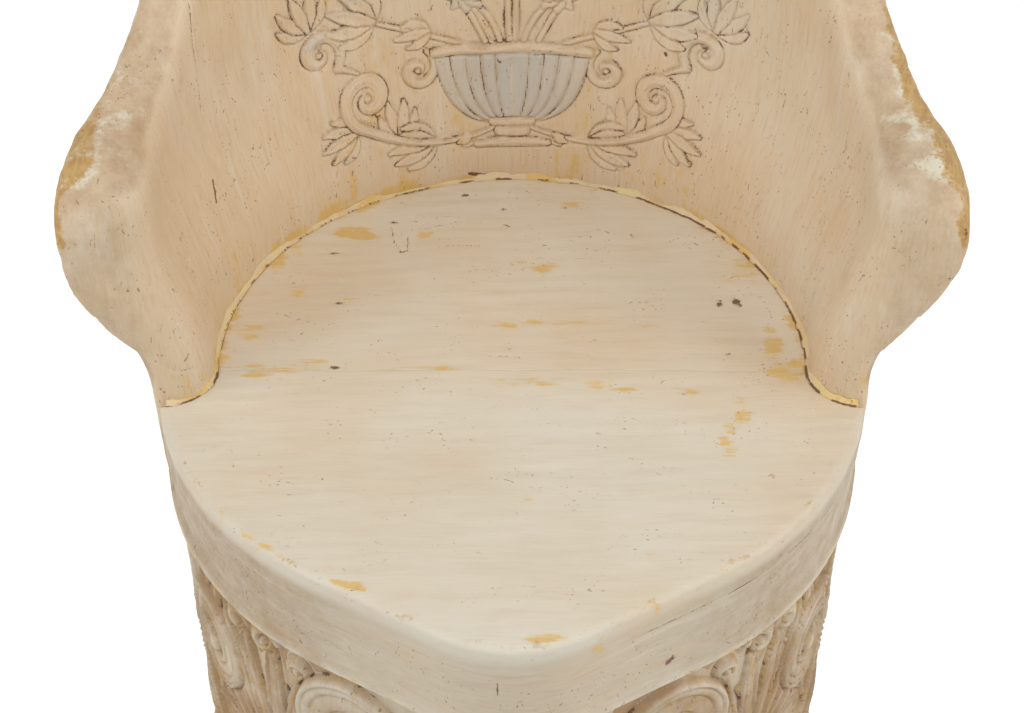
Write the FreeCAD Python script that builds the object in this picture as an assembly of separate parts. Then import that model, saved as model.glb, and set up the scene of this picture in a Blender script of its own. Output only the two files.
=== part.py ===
"""Dugout chair: one hollowed log with a nailed plank seat, in millimetres, +Z up.

The front of the chair faces -Y. The origin is at floor level under the middle of the chair's plan.
Angles are in degrees round from the middle of the back, about the hollow's axis.
"""
import FreeCAD
import Part
import math
import os

from FreeCAD import Vector

# Overall sizes
SEAT_HEIGHT = 440.0
BACK_RISE = 456.0
ARM_RISE = 178.0
HOLLOW_RADIUS = 200.0
HEART_RADIUS = 172.0
WALL = 36.0

# Plan of the log at the seat: a circle with a blunt prow at the front
PROW_ANGLE = 31.0
PROW_NOSE_RADIUS = 85.0

# Rim band, sunk frieze and plinth
BAND_HEIGHT = 58.0
BAND_TAPER = 3.0
BAND_SHOULDER = 0.6
FRIEZE_DEPTH = 10.0
PLINTH_HEIGHT = 60.0
PLINTH_PROUD = 12.0
EDGE_BREAK = 3.0

# Arms and back: front ends, rounded rim, swelling of the front lobes
ARM_FRONT_ANGLE = 101.7
ARM_FRONT_ROUNDING = 42.0
ARM_NOSE_RADIUS = 30.0
NOSE_TURNS = [18.0, 36.0, 54.0, 72.0, 90.0]
WALL_STEP = 5.2
LIP_INSIDE_SHARE = 0.68
LIP_INSIDE_HEIGHT = 27.0
LIP_OUTSIDE_HEIGHT = 13.0
LOBE_SWELL = 25.0
LOBE_SPREAD = 11.0
LOBE_START = 20.0
LOBE_FULL = 145.0

# The wall's outward flare above the seat: quick beside the seat, slow higher up
FLARE_START = 10.0
FLARE_QUICK = 22.0
FLARE_QUICK_HEIGHT = 125.0
FLARE_SLOW = 18.0

# The sweep of the rim from an arched crest down to the arms
SWEEP_END = 84.0
SWEEP_FULLNESS = 0.85

# Seat
PLANK_THICKNESS = 22.0
PLANK_NOSE_RADIUS = 8.0
PLANK_SEAM = 0.4
SEAM_FORWARD = 14.0
JOINT_GAP = 3.0
STRIP_CLEARANCE = 0.5
STRIP_CROWN = 0.8

# Fixings
NAIL_SHANK = 4.0
NAIL_HEAD = 8.0
NAIL_HEAD_THICKNESS = 2.0
NAIL_LENGTH = 50.0
NAIL_CLEARANCE = 0.1
NAIL_SET_DEPTH = 3.0
REAR_NAIL_ANGLES = [-72.0, -36.0, 0.0, 36.0, 72.0]
FRONT_NAIL_ANGLES = [-166.0, -137.0, -112.0, 112.0, 137.0, 166.0]

# Battens under the seat
BATTEN_WIDTH = 60.0
BATTEN_THICKNESS = 24.0
BATTEN_SPACING = 190.0
BATTEN_END_CLEARANCE = 4.0
BATTEN_NAIL_LENGTH = 38.0
BATTEN_NAIL_EDGE = 18.0

# Sizes worked out from those above
RIM_RADIUS = HOLLOW_RADIUS + WALL
BAND_TOP_RADIUS = RIM_RADIUS + BAND_SHOULDER
BAND_LOW_RADIUS = BAND_TOP_RADIUS - BAND_TAPER
GROUND_RADIUS = BAND_LOW_RADIUS - FRIEZE_DEPTH
PLINTH_RADIUS = GROUND_RADIUS + PLINTH_PROUD
LEDGE_HEIGHT = SEAT_HEIGHT - PLANK_THICKNESS
BAND_BOTTOM = LEDGE_HEIGHT - BAND_HEIGHT
CHEEK = math.radians(PROW_ANGLE)
PROW_REACH = BAND_TOP_RADIUS / math.cos(CHEEK) - PROW_NOSE_RADIUS * (1.0 / math.cos(CHEEK) - 1.0)
BACK_REACH = RIM_RADIUS + FLARE_QUICK + FLARE_SLOW
AXIS_Y = (PROW_REACH - BACK_REACH) / 2.0
NOSE_CENTRE_RADIUS = HOLLOW_RADIUS + ARM_NOSE_RADIUS
NOSE_SPAN = math.degrees(math.asin(ARM_NOSE_RADIUS / NOSE_CENTRE_RADIUS))
NOSE_START = ARM_FRONT_ANGLE - NOSE_SPAN
EMBED = 15.0
FAR = 1000.0


def at(angle, radius, z):
    """Point at an angle and a distance from the hollow's axis."""
    turn = math.radians(angle)
    return Vector(radius * math.sin(turn), AXIS_Y + radius * math.cos(turn), z)


def ease(value):
    """Smooth step from 0 to 1."""
    value = min(1.0, max(0.0, value))
    return value * value * (3.0 - 2.0 * value)


def log_outline(radius, z):
    """Closed outline of the log at one height: a circle, two flat cheeks and the prow's round nose."""
    right = at(180.0 - PROW_ANGLE, radius, z)
    left = at(PROW_ANGLE - 180.0, radius, z)
    centre = at(180.0, (radius - PROW_NOSE_RADIUS) / math.cos(CHEEK), z)
    ahead = PROW_NOSE_RADIUS * math.cos(CHEEK)
    aside = PROW_NOSE_RADIUS * math.sin(CHEEK)
    nose_right = centre + Vector(aside, -ahead, 0)
    nose_left = centre + Vector(-aside, -ahead, 0)
    return Part.Wire([Part.Arc(right, at(0.0, radius, z), left).toShape(),
                      Part.makeLine(left, nose_left),
                      Part.Arc(nose_left, centre + Vector(0, -PROW_NOSE_RADIUS, 0), nose_right).toShape(),
                      Part.makeLine(nose_right, right)])


def slab(radius, bottom, top):
    """Straight block with the log's outline."""
    return Part.Face(log_outline(radius, bottom)).extrude(Vector(0, 0, top - bottom))


def flare(height):
    """How far the wall has moved outwards at a height above the seat."""
    quick = FLARE_QUICK * ease((height - FLARE_START) / FLARE_QUICK_HEIGHT)
    return quick + FLARE_SLOW * ease(height / BACK_RISE)


def swell(angle, height):
    """Extra swelling of the outside at the arms' front lobes."""
    round_share = math.exp(-((abs(angle) - ARM_FRONT_ANGLE) / LOBE_SPREAD) ** 2)
    return LOBE_SWELL * round_share * ease((height - LOBE_START) / (LOBE_FULL - LOBE_START))


def rim_height(angle):
    """Height of the rim above the seat, rounded down over the front of the arms."""
    turned = abs(angle)
    arch = 0.5 + 0.5 * math.cos(math.pi * min(1.0, turned / SWEEP_END))
    height = ARM_RISE + (BACK_RISE - ARM_RISE) * arch ** SWEEP_FULLNESS
    forward = math.radians(turned - ARM_FRONT_ANGLE) * RIM_RADIUS + ARM_FRONT_ROUNDING
    if forward > 0.0:
        share = min(1.0, forward / ARM_FRONT_ROUNDING)
        height -= ARM_FRONT_ROUNDING * (1.0 - math.sqrt(1.0 - share * share))
    return height


def nose_inset(angle):
    """How far the wall's inside has curved outwards round an arm's nose, in plan."""
    past = math.radians(abs(angle) - NOSE_START)
    if past <= 0.0:
        return 0.0
    across = NOSE_CENTRE_RADIUS * math.sin(past)
    depth = math.sqrt(max(0.0, ARM_NOSE_RADIUS ** 2 - across ** 2))
    return NOSE_CENTRE_RADIUS * math.cos(past) - depth - HOLLOW_RADIUS


def spline(places, angle, start_slope, end_slope):
    """Curve in a radial plane through places (radius, height above the seat), with its slopes at both ends."""
    points = [at(angle, radius, SEAT_HEIGHT + height) for radius, height in places]
    outwards = at(angle, 1.0, 0.0) - at(angle, 0.0, 0.0)
    upwards = 1.0 if places[1][1] > places[0][1] else -1.0
    onwards = 1.0 if places[-1][1] > places[-2][1] else -1.0
    curve = Part.BSplineCurve()
    curve.interpolate(points, InitialTangent=(outwards * start_slope + Vector(0, 0, 1)) * upwards,
                      FinalTangent=(outwards * end_slope + Vector(0, 0, 1)) * onwards)
    return curve.toShape()


def slope(profile, height):
    """How fast a wall profile moves outwards as it rises."""
    return 0.5 * (profile(height + 1.0) - profile(height - 1.0))


def wall_section(angle):
    """Closed radial section through the wall, from inside the band up over the rounded rim."""
    top = rim_height(angle)
    foot = -PLANK_THICKNESS - 3.0
    inset_share = nose_inset(angle) / WALL

    def inner(height):
        return HOLLOW_RADIUS + flare(height) + inset_share * (WALL + swell(angle, height))

    def outer(height):
        return RIM_RADIUS + flare(height) + swell(angle, height)

    thick = outer(top) - inner(top)
    inside_height = LIP_INSIDE_HEIGHT * (1.0 - inset_share)
    inside_end = top - inside_height
    outside_end = top - LIP_OUTSIDE_HEIGHT
    shares = [0.0, 0.2, 0.42, 0.7, 1.0]
    inside = [(inner(foot), foot)]
    outside = [(outer(foot), foot)]
    for share in shares:
        height = FLARE_START + share * (inside_end - FLARE_START)
        inside.append((inner(height), height))
        height = FLARE_START + share * (outside_end - FLARE_START)
        outside.append((outer(height), height))
    crown = inner(top) + LIP_INSIDE_SHARE * thick
    half = math.sqrt(0.5)
    lip_start = at(angle, inside[-1][0], SEAT_HEIGHT + inside_end)
    lip_inside = at(angle, crown - half * (crown - inner(top)), SEAT_HEIGHT + inside_end + half * inside_height)
    lip_top = at(angle, crown, SEAT_HEIGHT + top)
    lip_outside = at(angle, crown + half * (outer(top) - crown), SEAT_HEIGHT + outside_end + half * LIP_OUTSIDE_HEIGHT)
    lip_end = at(angle, outside[-1][0], SEAT_HEIGHT + outside_end)
    inside_slope = slope(inner, inside_end)
    outside_slope = slope(outer, outside_end)
    root_z = SEAT_HEIGHT + foot - EMBED
    foot_in = at(angle, inner(foot), SEAT_HEIGHT + foot)
    foot_out = at(angle, outer(foot), SEAT_HEIGHT + foot)
    root_in = at(angle, inner(foot) + 1.0, root_z)
    root_out = at(angle, outer(foot) - 5.0, root_z)
    return Part.Wire([spline(inside, angle, 0.0, inside_slope),
                      Part.Arc(lip_start, lip_inside, lip_top).toShape(),
                      Part.Arc(lip_top, lip_outside, lip_end).toShape(),
                      spline(outside[::-1], angle, outside_slope, 0.0),
                      Part.makeLine(foot_out, root_out),
                      Part.makeLine(root_out, root_in),
                      Part.makeLine(root_in, foot_in)])


def section_angles():
    """Where the wall is cut for the loft: evenly round the back, then evenly round each arm's nose."""
    count = math.ceil(NOSE_START / WALL_STEP)
    side = [NOSE_START * (index + 1) / count for index in range(count)]
    for turn in NOSE_TURNS:
        across = ARM_NOSE_RADIUS * math.sin(math.radians(turn))
        side.append(NOSE_START + math.degrees(math.asin(across / NOSE_CENTRE_RADIUS)))
    return [-angle for angle in reversed(side)] + [0.0] + side


def back_and_arms():
    """The wall above the seat, lofted round from one arm's nose to the other."""
    return Part.makeLoft([wall_section(angle) for angle in section_angles()], True, True)


def band():
    """The smooth band under the seat, with the log's full outline."""
    sections = [log_outline(BAND_LOW_RADIUS, BAND_BOTTOM), log_outline(BAND_TOP_RADIUS, LEDGE_HEIGHT)]
    body = Part.makeLoft(sections, True, True)
    low = [edge for edge in body.Edges if edge.BoundBox.ZMax < BAND_BOTTOM + 0.1]
    return body.makeChamfer(EDGE_BREAK, low)


def plinth():
    """The foot of the trunk."""
    body = slab(PLINTH_RADIUS, 0.0, PLINTH_HEIGHT)
    rims = [edge for edge in body.Edges if edge.BoundBox.ZLength < 0.1]
    return body.makeChamfer(EDGE_BREAK, rims)


def trunk():
    """The whole log: plinth, frieze ground, band, arms and back in one piece of wood."""
    column = slab(GROUND_RADIUS, 0.5 * PLINTH_HEIGHT, BAND_BOTTOM + 0.5 * BAND_HEIGHT)
    body = plinth().fuse(column).fuse(band()).fuse(back_and_arms())
    heart = Part.makeCylinder(HEART_RADIUS, LEDGE_HEIGHT + 2.0, Vector(0, AXIS_Y, -1.0))
    return body.cut(heart)


def behind_seat(offset, bottom, top):
    """The space behind the seat's rear edge, with the edge moved forward from the wall by an offset."""
    radius = HOLLOW_RADIUS - offset
    nose = ARM_NOSE_RADIUS + offset
    edges = []
    ends = []
    for side in (-1.0, 1.0):
        centre = at(side * NOSE_START, NOSE_CENTRE_RADIUS, bottom)
        start = at(side * NOSE_START, radius, bottom)
        out = Vector(side * math.sin(math.radians(ARM_FRONT_ANGLE)), math.cos(math.radians(ARM_FRONT_ANGLE)), 0)
        ahead = Vector(side * out.y, -abs(out.x), 0)
        stop = centre + ahead * nose
        halfway = (start - centre).normalize() + ahead
        middle = centre + halfway.normalize() * nose
        far = stop + out * FAR
        edges.append(Part.Arc(start, middle, stop).toShape())
        edges.append(Part.makeLine(stop, far))
        ends.append((start, far))
    edges.append(Part.Arc(ends[0][0], at(0.0, radius, bottom), ends[1][0]).toShape())
    corners = [ends[0][1], Vector(-FAR, FAR, bottom), Vector(FAR, FAR, bottom), ends[1][1]]
    edges += [Part.makeLine(first, second) for first, second in zip(corners, corners[1:])]
    outline = Part.Wire(Part.__sortEdges__(edges))
    return Part.Face(outline).extrude(Vector(0, 0, top - bottom))


def seat_blank():
    """Both planks before they are parted, with the front edge rounded over."""
    blank = slab(BAND_TOP_RADIUS, LEDGE_HEIGHT, SEAT_HEIGHT)
    rim = [edge for edge in blank.Edges if edge.BoundBox.ZMin > SEAT_HEIGHT - 0.1]
    blank = blank.makeFillet(PLANK_NOSE_RADIUS, rim)
    return blank.cut(behind_seat(JOINT_GAP, LEDGE_HEIGHT - 1.0, SEAT_HEIGHT + 1.0))


def upright(width, place, bottom, top):
    """Upright square pin or hole."""
    corner = Vector(place.x - 0.5 * width, place.y - 0.5 * width, bottom)
    return Part.makeBox(width, width, top - bottom, corner)


def rear_nail_places():
    """Middle of the ledge behind the heart."""
    radius = 0.5 * (HEART_RADIUS + HOLLOW_RADIUS - JOINT_GAP)
    return [at(angle, radius, 0.0) for angle in REAR_NAIL_ANGLES]


def front_nail_places():
    """Middle of the rim in front of the heart."""
    return [at(angle, 0.5 * (HEART_RADIUS + RIM_RADIUS), 0.0) for angle in FRONT_NAIL_ANGLES]


def seat_nail(place, extra):
    """One seat nail, or its hole when it is made wider all round by an extra."""
    head_top = SEAT_HEIGHT - NAIL_SET_DEPTH
    head_bottom = head_top - NAIL_HEAD_THICKNESS
    shank = upright(NAIL_SHANK + extra, place, head_top - NAIL_LENGTH - extra, head_bottom + 0.5)
    return upright(NAIL_HEAD + extra, place, head_bottom, head_top).fuse(shank)


def putty_hole(place):
    """The hole over a set nail's head."""
    return upright(NAIL_HEAD + NAIL_CLEARANCE, place, SEAT_HEIGHT - NAIL_SET_DEPTH, SEAT_HEIGHT + 1.0)


def putty_plug(place):
    """The filler that closes that hole."""
    return upright(NAIL_HEAD, place, SEAT_HEIGHT - NAIL_SET_DEPTH, SEAT_HEIGHT)


def batten(side):
    """One batten on the planks' underside, across their seam, clear of the heart's wall."""
    edge_x = 0.5 * (BATTEN_SPACING + BATTEN_WIDTH)
    half = math.sqrt((HEART_RADIUS - BATTEN_END_CLEARANCE) ** 2 - edge_x ** 2)
    corner = Vector(side * 0.5 * BATTEN_SPACING - 0.5 * BATTEN_WIDTH, AXIS_Y - half, LEDGE_HEIGHT - BATTEN_THICKNESS)
    return Part.makeBox(BATTEN_WIDTH, 2.0 * half, BATTEN_THICKNESS, corner)


def batten_nail_places(side):
    """Two nails in each plank for one batten."""
    box = batten(side).BoundBox
    rows = (box.YMin + BATTEN_NAIL_EDGE, AXIS_Y - SEAM_FORWARD - BATTEN_NAIL_EDGE,
            AXIS_Y - SEAM_FORWARD + BATTEN_NAIL_EDGE, box.YMax - BATTEN_NAIL_EDGE)
    return [Vector(box.Center.x + (-1.0) ** row * 0.25 * BATTEN_WIDTH, y, 0.0) for row, y in enumerate(rows)]


def batten_nail(place, extra):
    """One batten nail driven up from below, or its hole."""
    low = LEDGE_HEIGHT - BATTEN_THICKNESS
    head = upright(NAIL_HEAD + extra, place, low - 0.5 * extra, low + NAIL_HEAD_THICKNESS)
    return head.fuse(upright(NAIL_SHANK + extra, place, low + 0.5, low + BATTEN_NAIL_LENGTH + extra))


def build():
    """All the nodes by name."""
    seam_y = AXIS_Y - SEAM_FORWARD
    blank = seat_blank()
    ahead = Part.makeBox(2 * FAR, FAR, FAR, Vector(-FAR, seam_y - 0.5 * PLANK_SEAM - FAR, 0.0))
    behind = Part.makeBox(2 * FAR, FAR, FAR, Vector(-FAR, seam_y + 0.5 * PLANK_SEAM, 0.0))
    places = rear_nail_places() + front_nail_places()
    under = batten_nail_places(-1.0) + batten_nail_places(1.0)
    under_holes = [batten_nail(place, NAIL_CLEARANCE) for place in under]
    seat_holes = [seat_nail(place, NAIL_CLEARANCE) for place in places]
    plank_holes = seat_holes + [putty_hole(place) for place in places] + under_holes
    strip_top = SEAT_HEIGHT + STRIP_CROWN
    strip = slab(RIM_RADIUS - STRIP_CLEARANCE, LEDGE_HEIGHT, strip_top) \
        .common(behind_seat(JOINT_GAP - STRIP_CLEARANCE, LEDGE_HEIGHT - 1.0, strip_top + 1.0)) \
        .cut(behind_seat(STRIP_CLEARANCE, LEDGE_HEIGHT - 1.0, strip_top + 1.0))
    return {
        "trunk": trunk().cut(seat_holes),
        "seat_front_plank": blank.common(ahead).cut(plank_holes),
        "seat_rear_plank": blank.common(behind).cut(plank_holes),
        "joint_strip": strip,
        "seat_nails": Part.makeCompound([seat_nail(place, 0.0) for place in places]),
        "nail_putty": Part.makeCompound([putty_plug(place) for place in places]),
        "seat_batten_left": batten(-1.0).cut(under_holes),
        "seat_batten_right": batten(1.0).cut(under_holes),
        "batten_nails": Part.makeCompound([batten_nail(place, 0.0) for place in under]),
    }


if __name__ == "__main__":
    os.makedirs("parts", exist_ok=True)
    for name, shape in build().items():
        box = shape.BoundBox
        print(name, len(shape.Solids), shape.isValid(), round(shape.Volume / 1000.0), "cm3",
              [round(value, 1) for value in (box.XMin, box.XMax, box.YMin, box.YMax, box.ZMin, box.ZMax)], flush=True)
        shape.exportStep("parts/" + name + ".step")
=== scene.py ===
import math

import bpy
import numpy as np
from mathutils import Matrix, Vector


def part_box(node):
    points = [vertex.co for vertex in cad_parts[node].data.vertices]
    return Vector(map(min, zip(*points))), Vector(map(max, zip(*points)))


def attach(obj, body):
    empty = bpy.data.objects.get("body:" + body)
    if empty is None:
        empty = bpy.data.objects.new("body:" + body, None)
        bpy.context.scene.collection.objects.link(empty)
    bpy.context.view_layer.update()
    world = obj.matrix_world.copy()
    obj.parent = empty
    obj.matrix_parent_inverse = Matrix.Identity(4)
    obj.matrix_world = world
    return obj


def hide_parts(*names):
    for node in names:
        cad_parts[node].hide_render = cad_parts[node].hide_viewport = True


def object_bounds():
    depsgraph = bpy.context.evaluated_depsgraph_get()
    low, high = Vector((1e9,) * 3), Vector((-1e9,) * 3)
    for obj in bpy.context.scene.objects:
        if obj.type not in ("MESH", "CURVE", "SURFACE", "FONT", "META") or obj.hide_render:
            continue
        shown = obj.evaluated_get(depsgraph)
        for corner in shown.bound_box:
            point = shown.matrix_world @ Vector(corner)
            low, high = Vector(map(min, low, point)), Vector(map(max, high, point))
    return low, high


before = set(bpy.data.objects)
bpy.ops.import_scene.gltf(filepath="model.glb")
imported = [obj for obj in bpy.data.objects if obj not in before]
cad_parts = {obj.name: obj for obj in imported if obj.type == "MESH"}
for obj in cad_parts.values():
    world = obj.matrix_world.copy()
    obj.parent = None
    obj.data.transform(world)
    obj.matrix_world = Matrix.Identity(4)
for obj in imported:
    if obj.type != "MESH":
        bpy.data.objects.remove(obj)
CAD_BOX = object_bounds()

bl_info = {
    "name": "Dugout Chair",
    "version": (1, 0, 0),
    "blender": (4, 5, 0),
    "location": "3D Viewport > Sidebar > Chair",
    "description": "Builds the painted and carved finish of a chair hewn from one log",
    "category": "Object",
}

# Places and sizes that the finish shares with the solids, in metres
SEAT_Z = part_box("seat_front_plank")[1][2]
LEDGE_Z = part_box("seat_front_plank")[0][2]
BAND_Z = 0.360
PLINTH_Z = 0.060
AXIS_Y = -0.00705
HOLLOW_RADIUS = 0.200
RIM_RADIUS = 0.236
LOG_RADIUS = 0.2366
GROUND_RADIUS = 0.2236
HEART_RADIUS = 0.172
PROW_NOSE = 0.085
CHEEK = math.radians(31.0)
ARM_FRONT = math.radians(101.7)
ARM_NOSE = 0.030
JOINT_GAP = 0.003
SEAM_Y = AXIS_Y - 0.014
SEAM_LAP = 0.004
SEAM_GAP = 0.00003
SEAT_ROLL = 0.006
PLUG_RADIUS = 0.0036
PLUG_DEPTH = 0.004
PLUG_SPACING = 0.02
SLAB_DEPTH = 0.006
OVERLAP = 0.0002
MM = 0.001
TO_MM = 1000.0

# How far from its edge a rim of the band is squared, how much of that becomes its flat lip, and how far
# inside the log's outline it ends, in metres
RIM_REACH = 0.012
RIM_LIP = 0.004
RIM_INSET = 0.00015
SHARP_EDGE = math.radians(50.0)

# Half the angle of the back's plain outside, and the share of all faces that stay when it is thinned
PLAIN_SPAN = math.radians(75.0)
PLAIN_KEPT = 0.62

# Radius in mm by which angles on the inside of the back turn into runs
SHEET_RADIUS = 208.0

# Depths in mm below the band between which the cove under it runs out into the carving
COVE = (9.0, 17.0)

# Radii in metres between which the outline through a point is searched, and how often the span is halved
SEARCH_RADII = (0.09, 0.30)
SEARCH_ROUNDS = 26

# Number of sines in a seeded unevenness
WAVE_COUNT = 18


def srgb(red, green, blue):
    """A colour as Blender's shaders take it, from the usual 0 to 255 numbers."""
    values = []
    for level in (red, green, blue):
        share = level / 255.0
        values.append(share / 12.92 if share <= 0.04045 else ((share + 0.055) / 1.055) ** 2.4)
    return tuple(values)


def colour_prop(name, description, red, green, blue):
    """A colour that the user can change."""
    return bpy.props.FloatVectorProperty(name=name, description=description, subtype="COLOR",
                                         size=3, min=0.0, max=1.0, default=srgb(red, green, blue))


def length_prop(name, description, default):
    """A length that the user can change."""
    return bpy.props.FloatProperty(name=name, description=description, default=default,
                                   min=0.0, unit="LENGTH", precision=5)


class ChairPaint(bpy.types.PropertyGroup):
    """Colours of the paint and of what shows through it."""
    pink: colour_prop("Pink cream", "Main paint of the back, the arms and the rear plank", 209, 185, 153)
    # The pale cream also lays painted light: on the right inside wall, as a highlight along the band's lower
    # edge and on the carved leaves' tops
    pale: colour_prop("Pale cream", "Thicker paint of the front plank and the high places", 214, 207, 191)
    # The cool cream also lays painted shade on the band's turned sides, on the lobes and in the frieze's cove
    grey: colour_prop("Cool cream", "Dulled paint of the band under the seat", 176, 164, 142)
    warm: colour_prop("Warm streak", "Thin paint along the grain", 204, 171, 132)
    primer: colour_prop("Primer", "Whitish undercoat round the worn places", 216, 214, 194)
    ochre: colour_prop("Ochre", "Old ochre coat that shows in patches", 207, 169, 86)
    stain: colour_prop("Worn ochre", "Darker ochre rubbed thin along the edges", 182, 146, 82)
    bare: colour_prop("Bare wood", "Wood rubbed bare on the edges", 138, 96, 46)
    grime: colour_prop("Grime", "Dark dirt in cracks, pits and flecks", 96, 56, 30)
    fleck: colour_prop("Flecks", "Brown flecks along the grain", 120, 66, 36)
    # The old dirt colour also lays the painted shade and shadow that the dirt masks carry
    dust_and_shade: colour_prop("Old dirt", "Brown dirt that stays in the carving", 156, 124, 86)
    filler: colour_prop("Filler", "Yellowish filler in the joint round the seat", 212, 192, 140)
    blue: colour_prop("Grey blue", "Thin grey blue touches on the back's carving", 170, 176, 176)
    heart: colour_prop("Heart wood", "Bare aged wood under the seat", 138, 104, 70)


class ChairForm(bpy.types.PropertyGroup):
    """Sizes of the hewn surface and its carving."""
    wall_grain: length_prop("Wall mesh", "Mesh size of the back and arms", 0.0035)
    base_grain: length_prop("Base mesh", "Mesh size of the foot and the heart", 0.0048)
    plank_grain: length_prop("Plank mesh", "Mesh size of the seat planks", 0.0016)
    frieze_grain: length_prop("Frieze mesh", "Mesh size of the carved base", 0.00125)
    hewn: length_prop("Hewn unevenness", "How far the hewn wall waves in and out", 0.0006)
    frieze_rise: length_prop("Frieze relief", "Highest relief of the carved base", 0.0088)
    back_rise: length_prop("Back relief", "Highest relief of the carving on the back", 0.0034)


# Mesh helpers

def only(obj):
    """Select one object and make it the active one."""
    bpy.ops.object.select_all(action="DESELECT")
    obj.select_set(True)
    bpy.context.view_layer.objects.active = obj


def new_piece(name, points, faces):
    """A mesh object from plain lists."""
    mesh = bpy.data.meshes.new(name)
    mesh.from_pydata(points, [], faces)
    mesh.update()
    piece = bpy.data.objects.new(name, mesh)
    bpy.context.scene.collection.objects.link(piece)
    only(piece)
    return piece


def in_edit_mode(piece, *steps):
    """Run mesh operators on all of one mesh; each step is an operator and its settings."""
    only(piece)
    bpy.ops.object.mode_set(mode="EDIT")
    for operator, settings in steps:
        bpy.ops.mesh.select_all(action="SELECT")
        operator(**settings)
    bpy.ops.object.mode_set(mode="OBJECT")


def face_outwards(piece):
    """Turn all faces of a closed mesh outwards."""
    in_edit_mode(piece, (bpy.ops.mesh.normals_make_consistent, {"inside": False}))


def cad_copy(node, name):
    """A copy of a solid's mesh with its loose triangles merged."""
    piece = bpy.data.objects.new(name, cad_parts[node].data.copy())
    bpy.context.scene.collection.objects.link(piece)
    piece.data.materials.clear()
    in_edit_mode(piece, (bpy.ops.mesh.remove_doubles, {"threshold": 0.00002}))
    return piece


def cut_level(piece, height, keep_above):
    """Cut a closed mesh at a height and close the cut."""
    settings = {"plane_co": (0.0, 0.0, height), "plane_no": (0.0, 0.0, 1.0), "use_fill": True,
                "clear_inner": keep_above, "clear_outer": not keep_above}
    in_edit_mode(piece, (bpy.ops.mesh.bisect, settings))


def apply_modifier(piece, kind, **settings):
    """Add a modifier and apply it."""
    only(piece)
    modifier = piece.modifiers.new(kind.title(), kind)
    for key, value in settings.items():
        setattr(modifier, key, value)
    bpy.ops.object.modifier_apply(modifier=modifier.name)


def vectors(items, name):
    """One vector of each vertex or face as an array."""
    values = np.empty(len(items) * 3)
    items.foreach_get(name, values)
    return values.reshape(-1, 3)


def places(piece):
    """All vertex places as an array."""
    return vectors(piece.data.vertices, "co")


def normals(piece):
    """All vertex normals as an array."""
    return vectors(piece.data.vertices, "normal")


def face_middles(piece):
    """All face middles as an array."""
    return vectors(piece.data.polygons, "center")


def set_places(piece, values):
    """Move all vertices."""
    piece.data.vertices.foreach_set("co", values.ravel())
    piece.data.update()


def set_mask(piece, name, values):
    """Store a value per vertex for the shaders."""
    layer = piece.data.attributes.get(name) or piece.data.attributes.new(name, "FLOAT", "POINT")
    layer.data.foreach_set("value", np.clip(values, 0.0, 1.0).astype(np.float32))


def fair(piece, share, rounds):
    """Even out a surface where share is above 0, without shrinking it."""
    points = places(piece)
    pairs = np.empty(len(piece.data.edges) * 2, dtype=np.int32)
    piece.data.edges.foreach_get("vertices", pairs)
    starts, ends = pairs.reshape(-1, 2).T
    here = np.concatenate([starts, ends])
    there = np.concatenate([ends, starts])
    count = np.bincount(here, minlength=len(points))[:, None]
    for factor in (0.6, -0.62) * rounds:
        sums = [np.bincount(here, points[there, axis], len(points)) for axis in range(3)]
        points += (np.column_stack(sums) / count - points) * (factor * share)[:, None]
    set_places(piece, points)


def refine(piece, chosen, cuts):
    """Subdivide the faces whose middles are chosen."""
    only(piece)
    mesh = piece.data
    bpy.ops.object.mode_set(mode="EDIT")
    bpy.ops.mesh.select_mode(type="FACE")
    bpy.ops.mesh.select_all(action="DESELECT")
    bpy.ops.object.mode_set(mode="OBJECT")
    mesh.polygons.foreach_set("select", chosen)
    bpy.ops.object.mode_set(mode="EDIT")
    bpy.ops.mesh.subdivide(number_cuts=cuts)
    bpy.ops.object.mode_set(mode="OBJECT")


def finish_piece(piece, slot, material, *nodes):
    """Smooth shading, material and the calls that tie a piece to the frame."""
    only(piece)
    bpy.ops.object.shade_smooth()
    piece.data.materials.clear()
    piece.data.materials.append(material)
    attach(piece, "root")
    if nodes:
        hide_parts(*nodes)


# Number helpers

def ease(values, low, high):
    """Smooth step from 0 at low to 1 at high."""
    share = np.clip((values - low) / (high - low), 0.0, 1.0)
    return share * share * (3.0 - 2.0 * share)


def fade(values, low, high):
    """Smooth step from 1 at low to 0 at high."""
    return 1.0 - ease(values, low, high)


def bell(values, middle, spread):
    """Bell curve: 1 at the middle, lower over the spread to both sides."""
    return np.exp(-((values - middle) / spread) ** 2)


def from_table(values, table):
    """Second column of a table by its first one, straight between the rows."""
    return np.interp(values, *np.array(table).T)


def waves(points, length, seed, stretch=(1.0, 1.0, 1.0)):
    """Smooth seeded unevenness of about unit size with a typical wavelength."""
    source = np.random.default_rng(seed)
    total = np.zeros(len(points))
    scaled = points / np.array(stretch)
    for _ in range(WAVE_COUNT):
        direction = source.normal(size=3)
        direction *= 2.0 * math.pi * source.uniform(0.7, 1.4) / (length * np.linalg.norm(direction))
        total += np.sin(scaled @ direction + source.uniform(0.0, 2.0 * math.pi))
    return total / math.sqrt(0.5 * WAVE_COUNT)


def patches(points, length, seed, level, swing, stretch=(1.0, 1.0, 1.0)):
    """Seeded patches that go up and down about a level, from 0 to 1."""
    return np.clip(level + swing * waves(points, length, seed, stretch), 0.0, 1.0)


def line_distance(points, line):
    """Distance of flat points from a polyline, and how far along it the nearest place is."""
    best = np.full(len(points), 1e9)
    share = np.zeros(len(points))
    count = len(line) - 1
    for index in range(count):
        start = line[index]
        run = line[index + 1] - start
        step = np.clip(((points - start) @ run) / max(run @ run, 1e-12), 0.0, 1.0)
        away = np.linalg.norm(points - start - step[:, None] * run, axis=1)
        nearer = away < best
        best[nearer] = away[nearer]
        share[nearer] = (index + step[nearer]) / count
    return best, share


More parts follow.
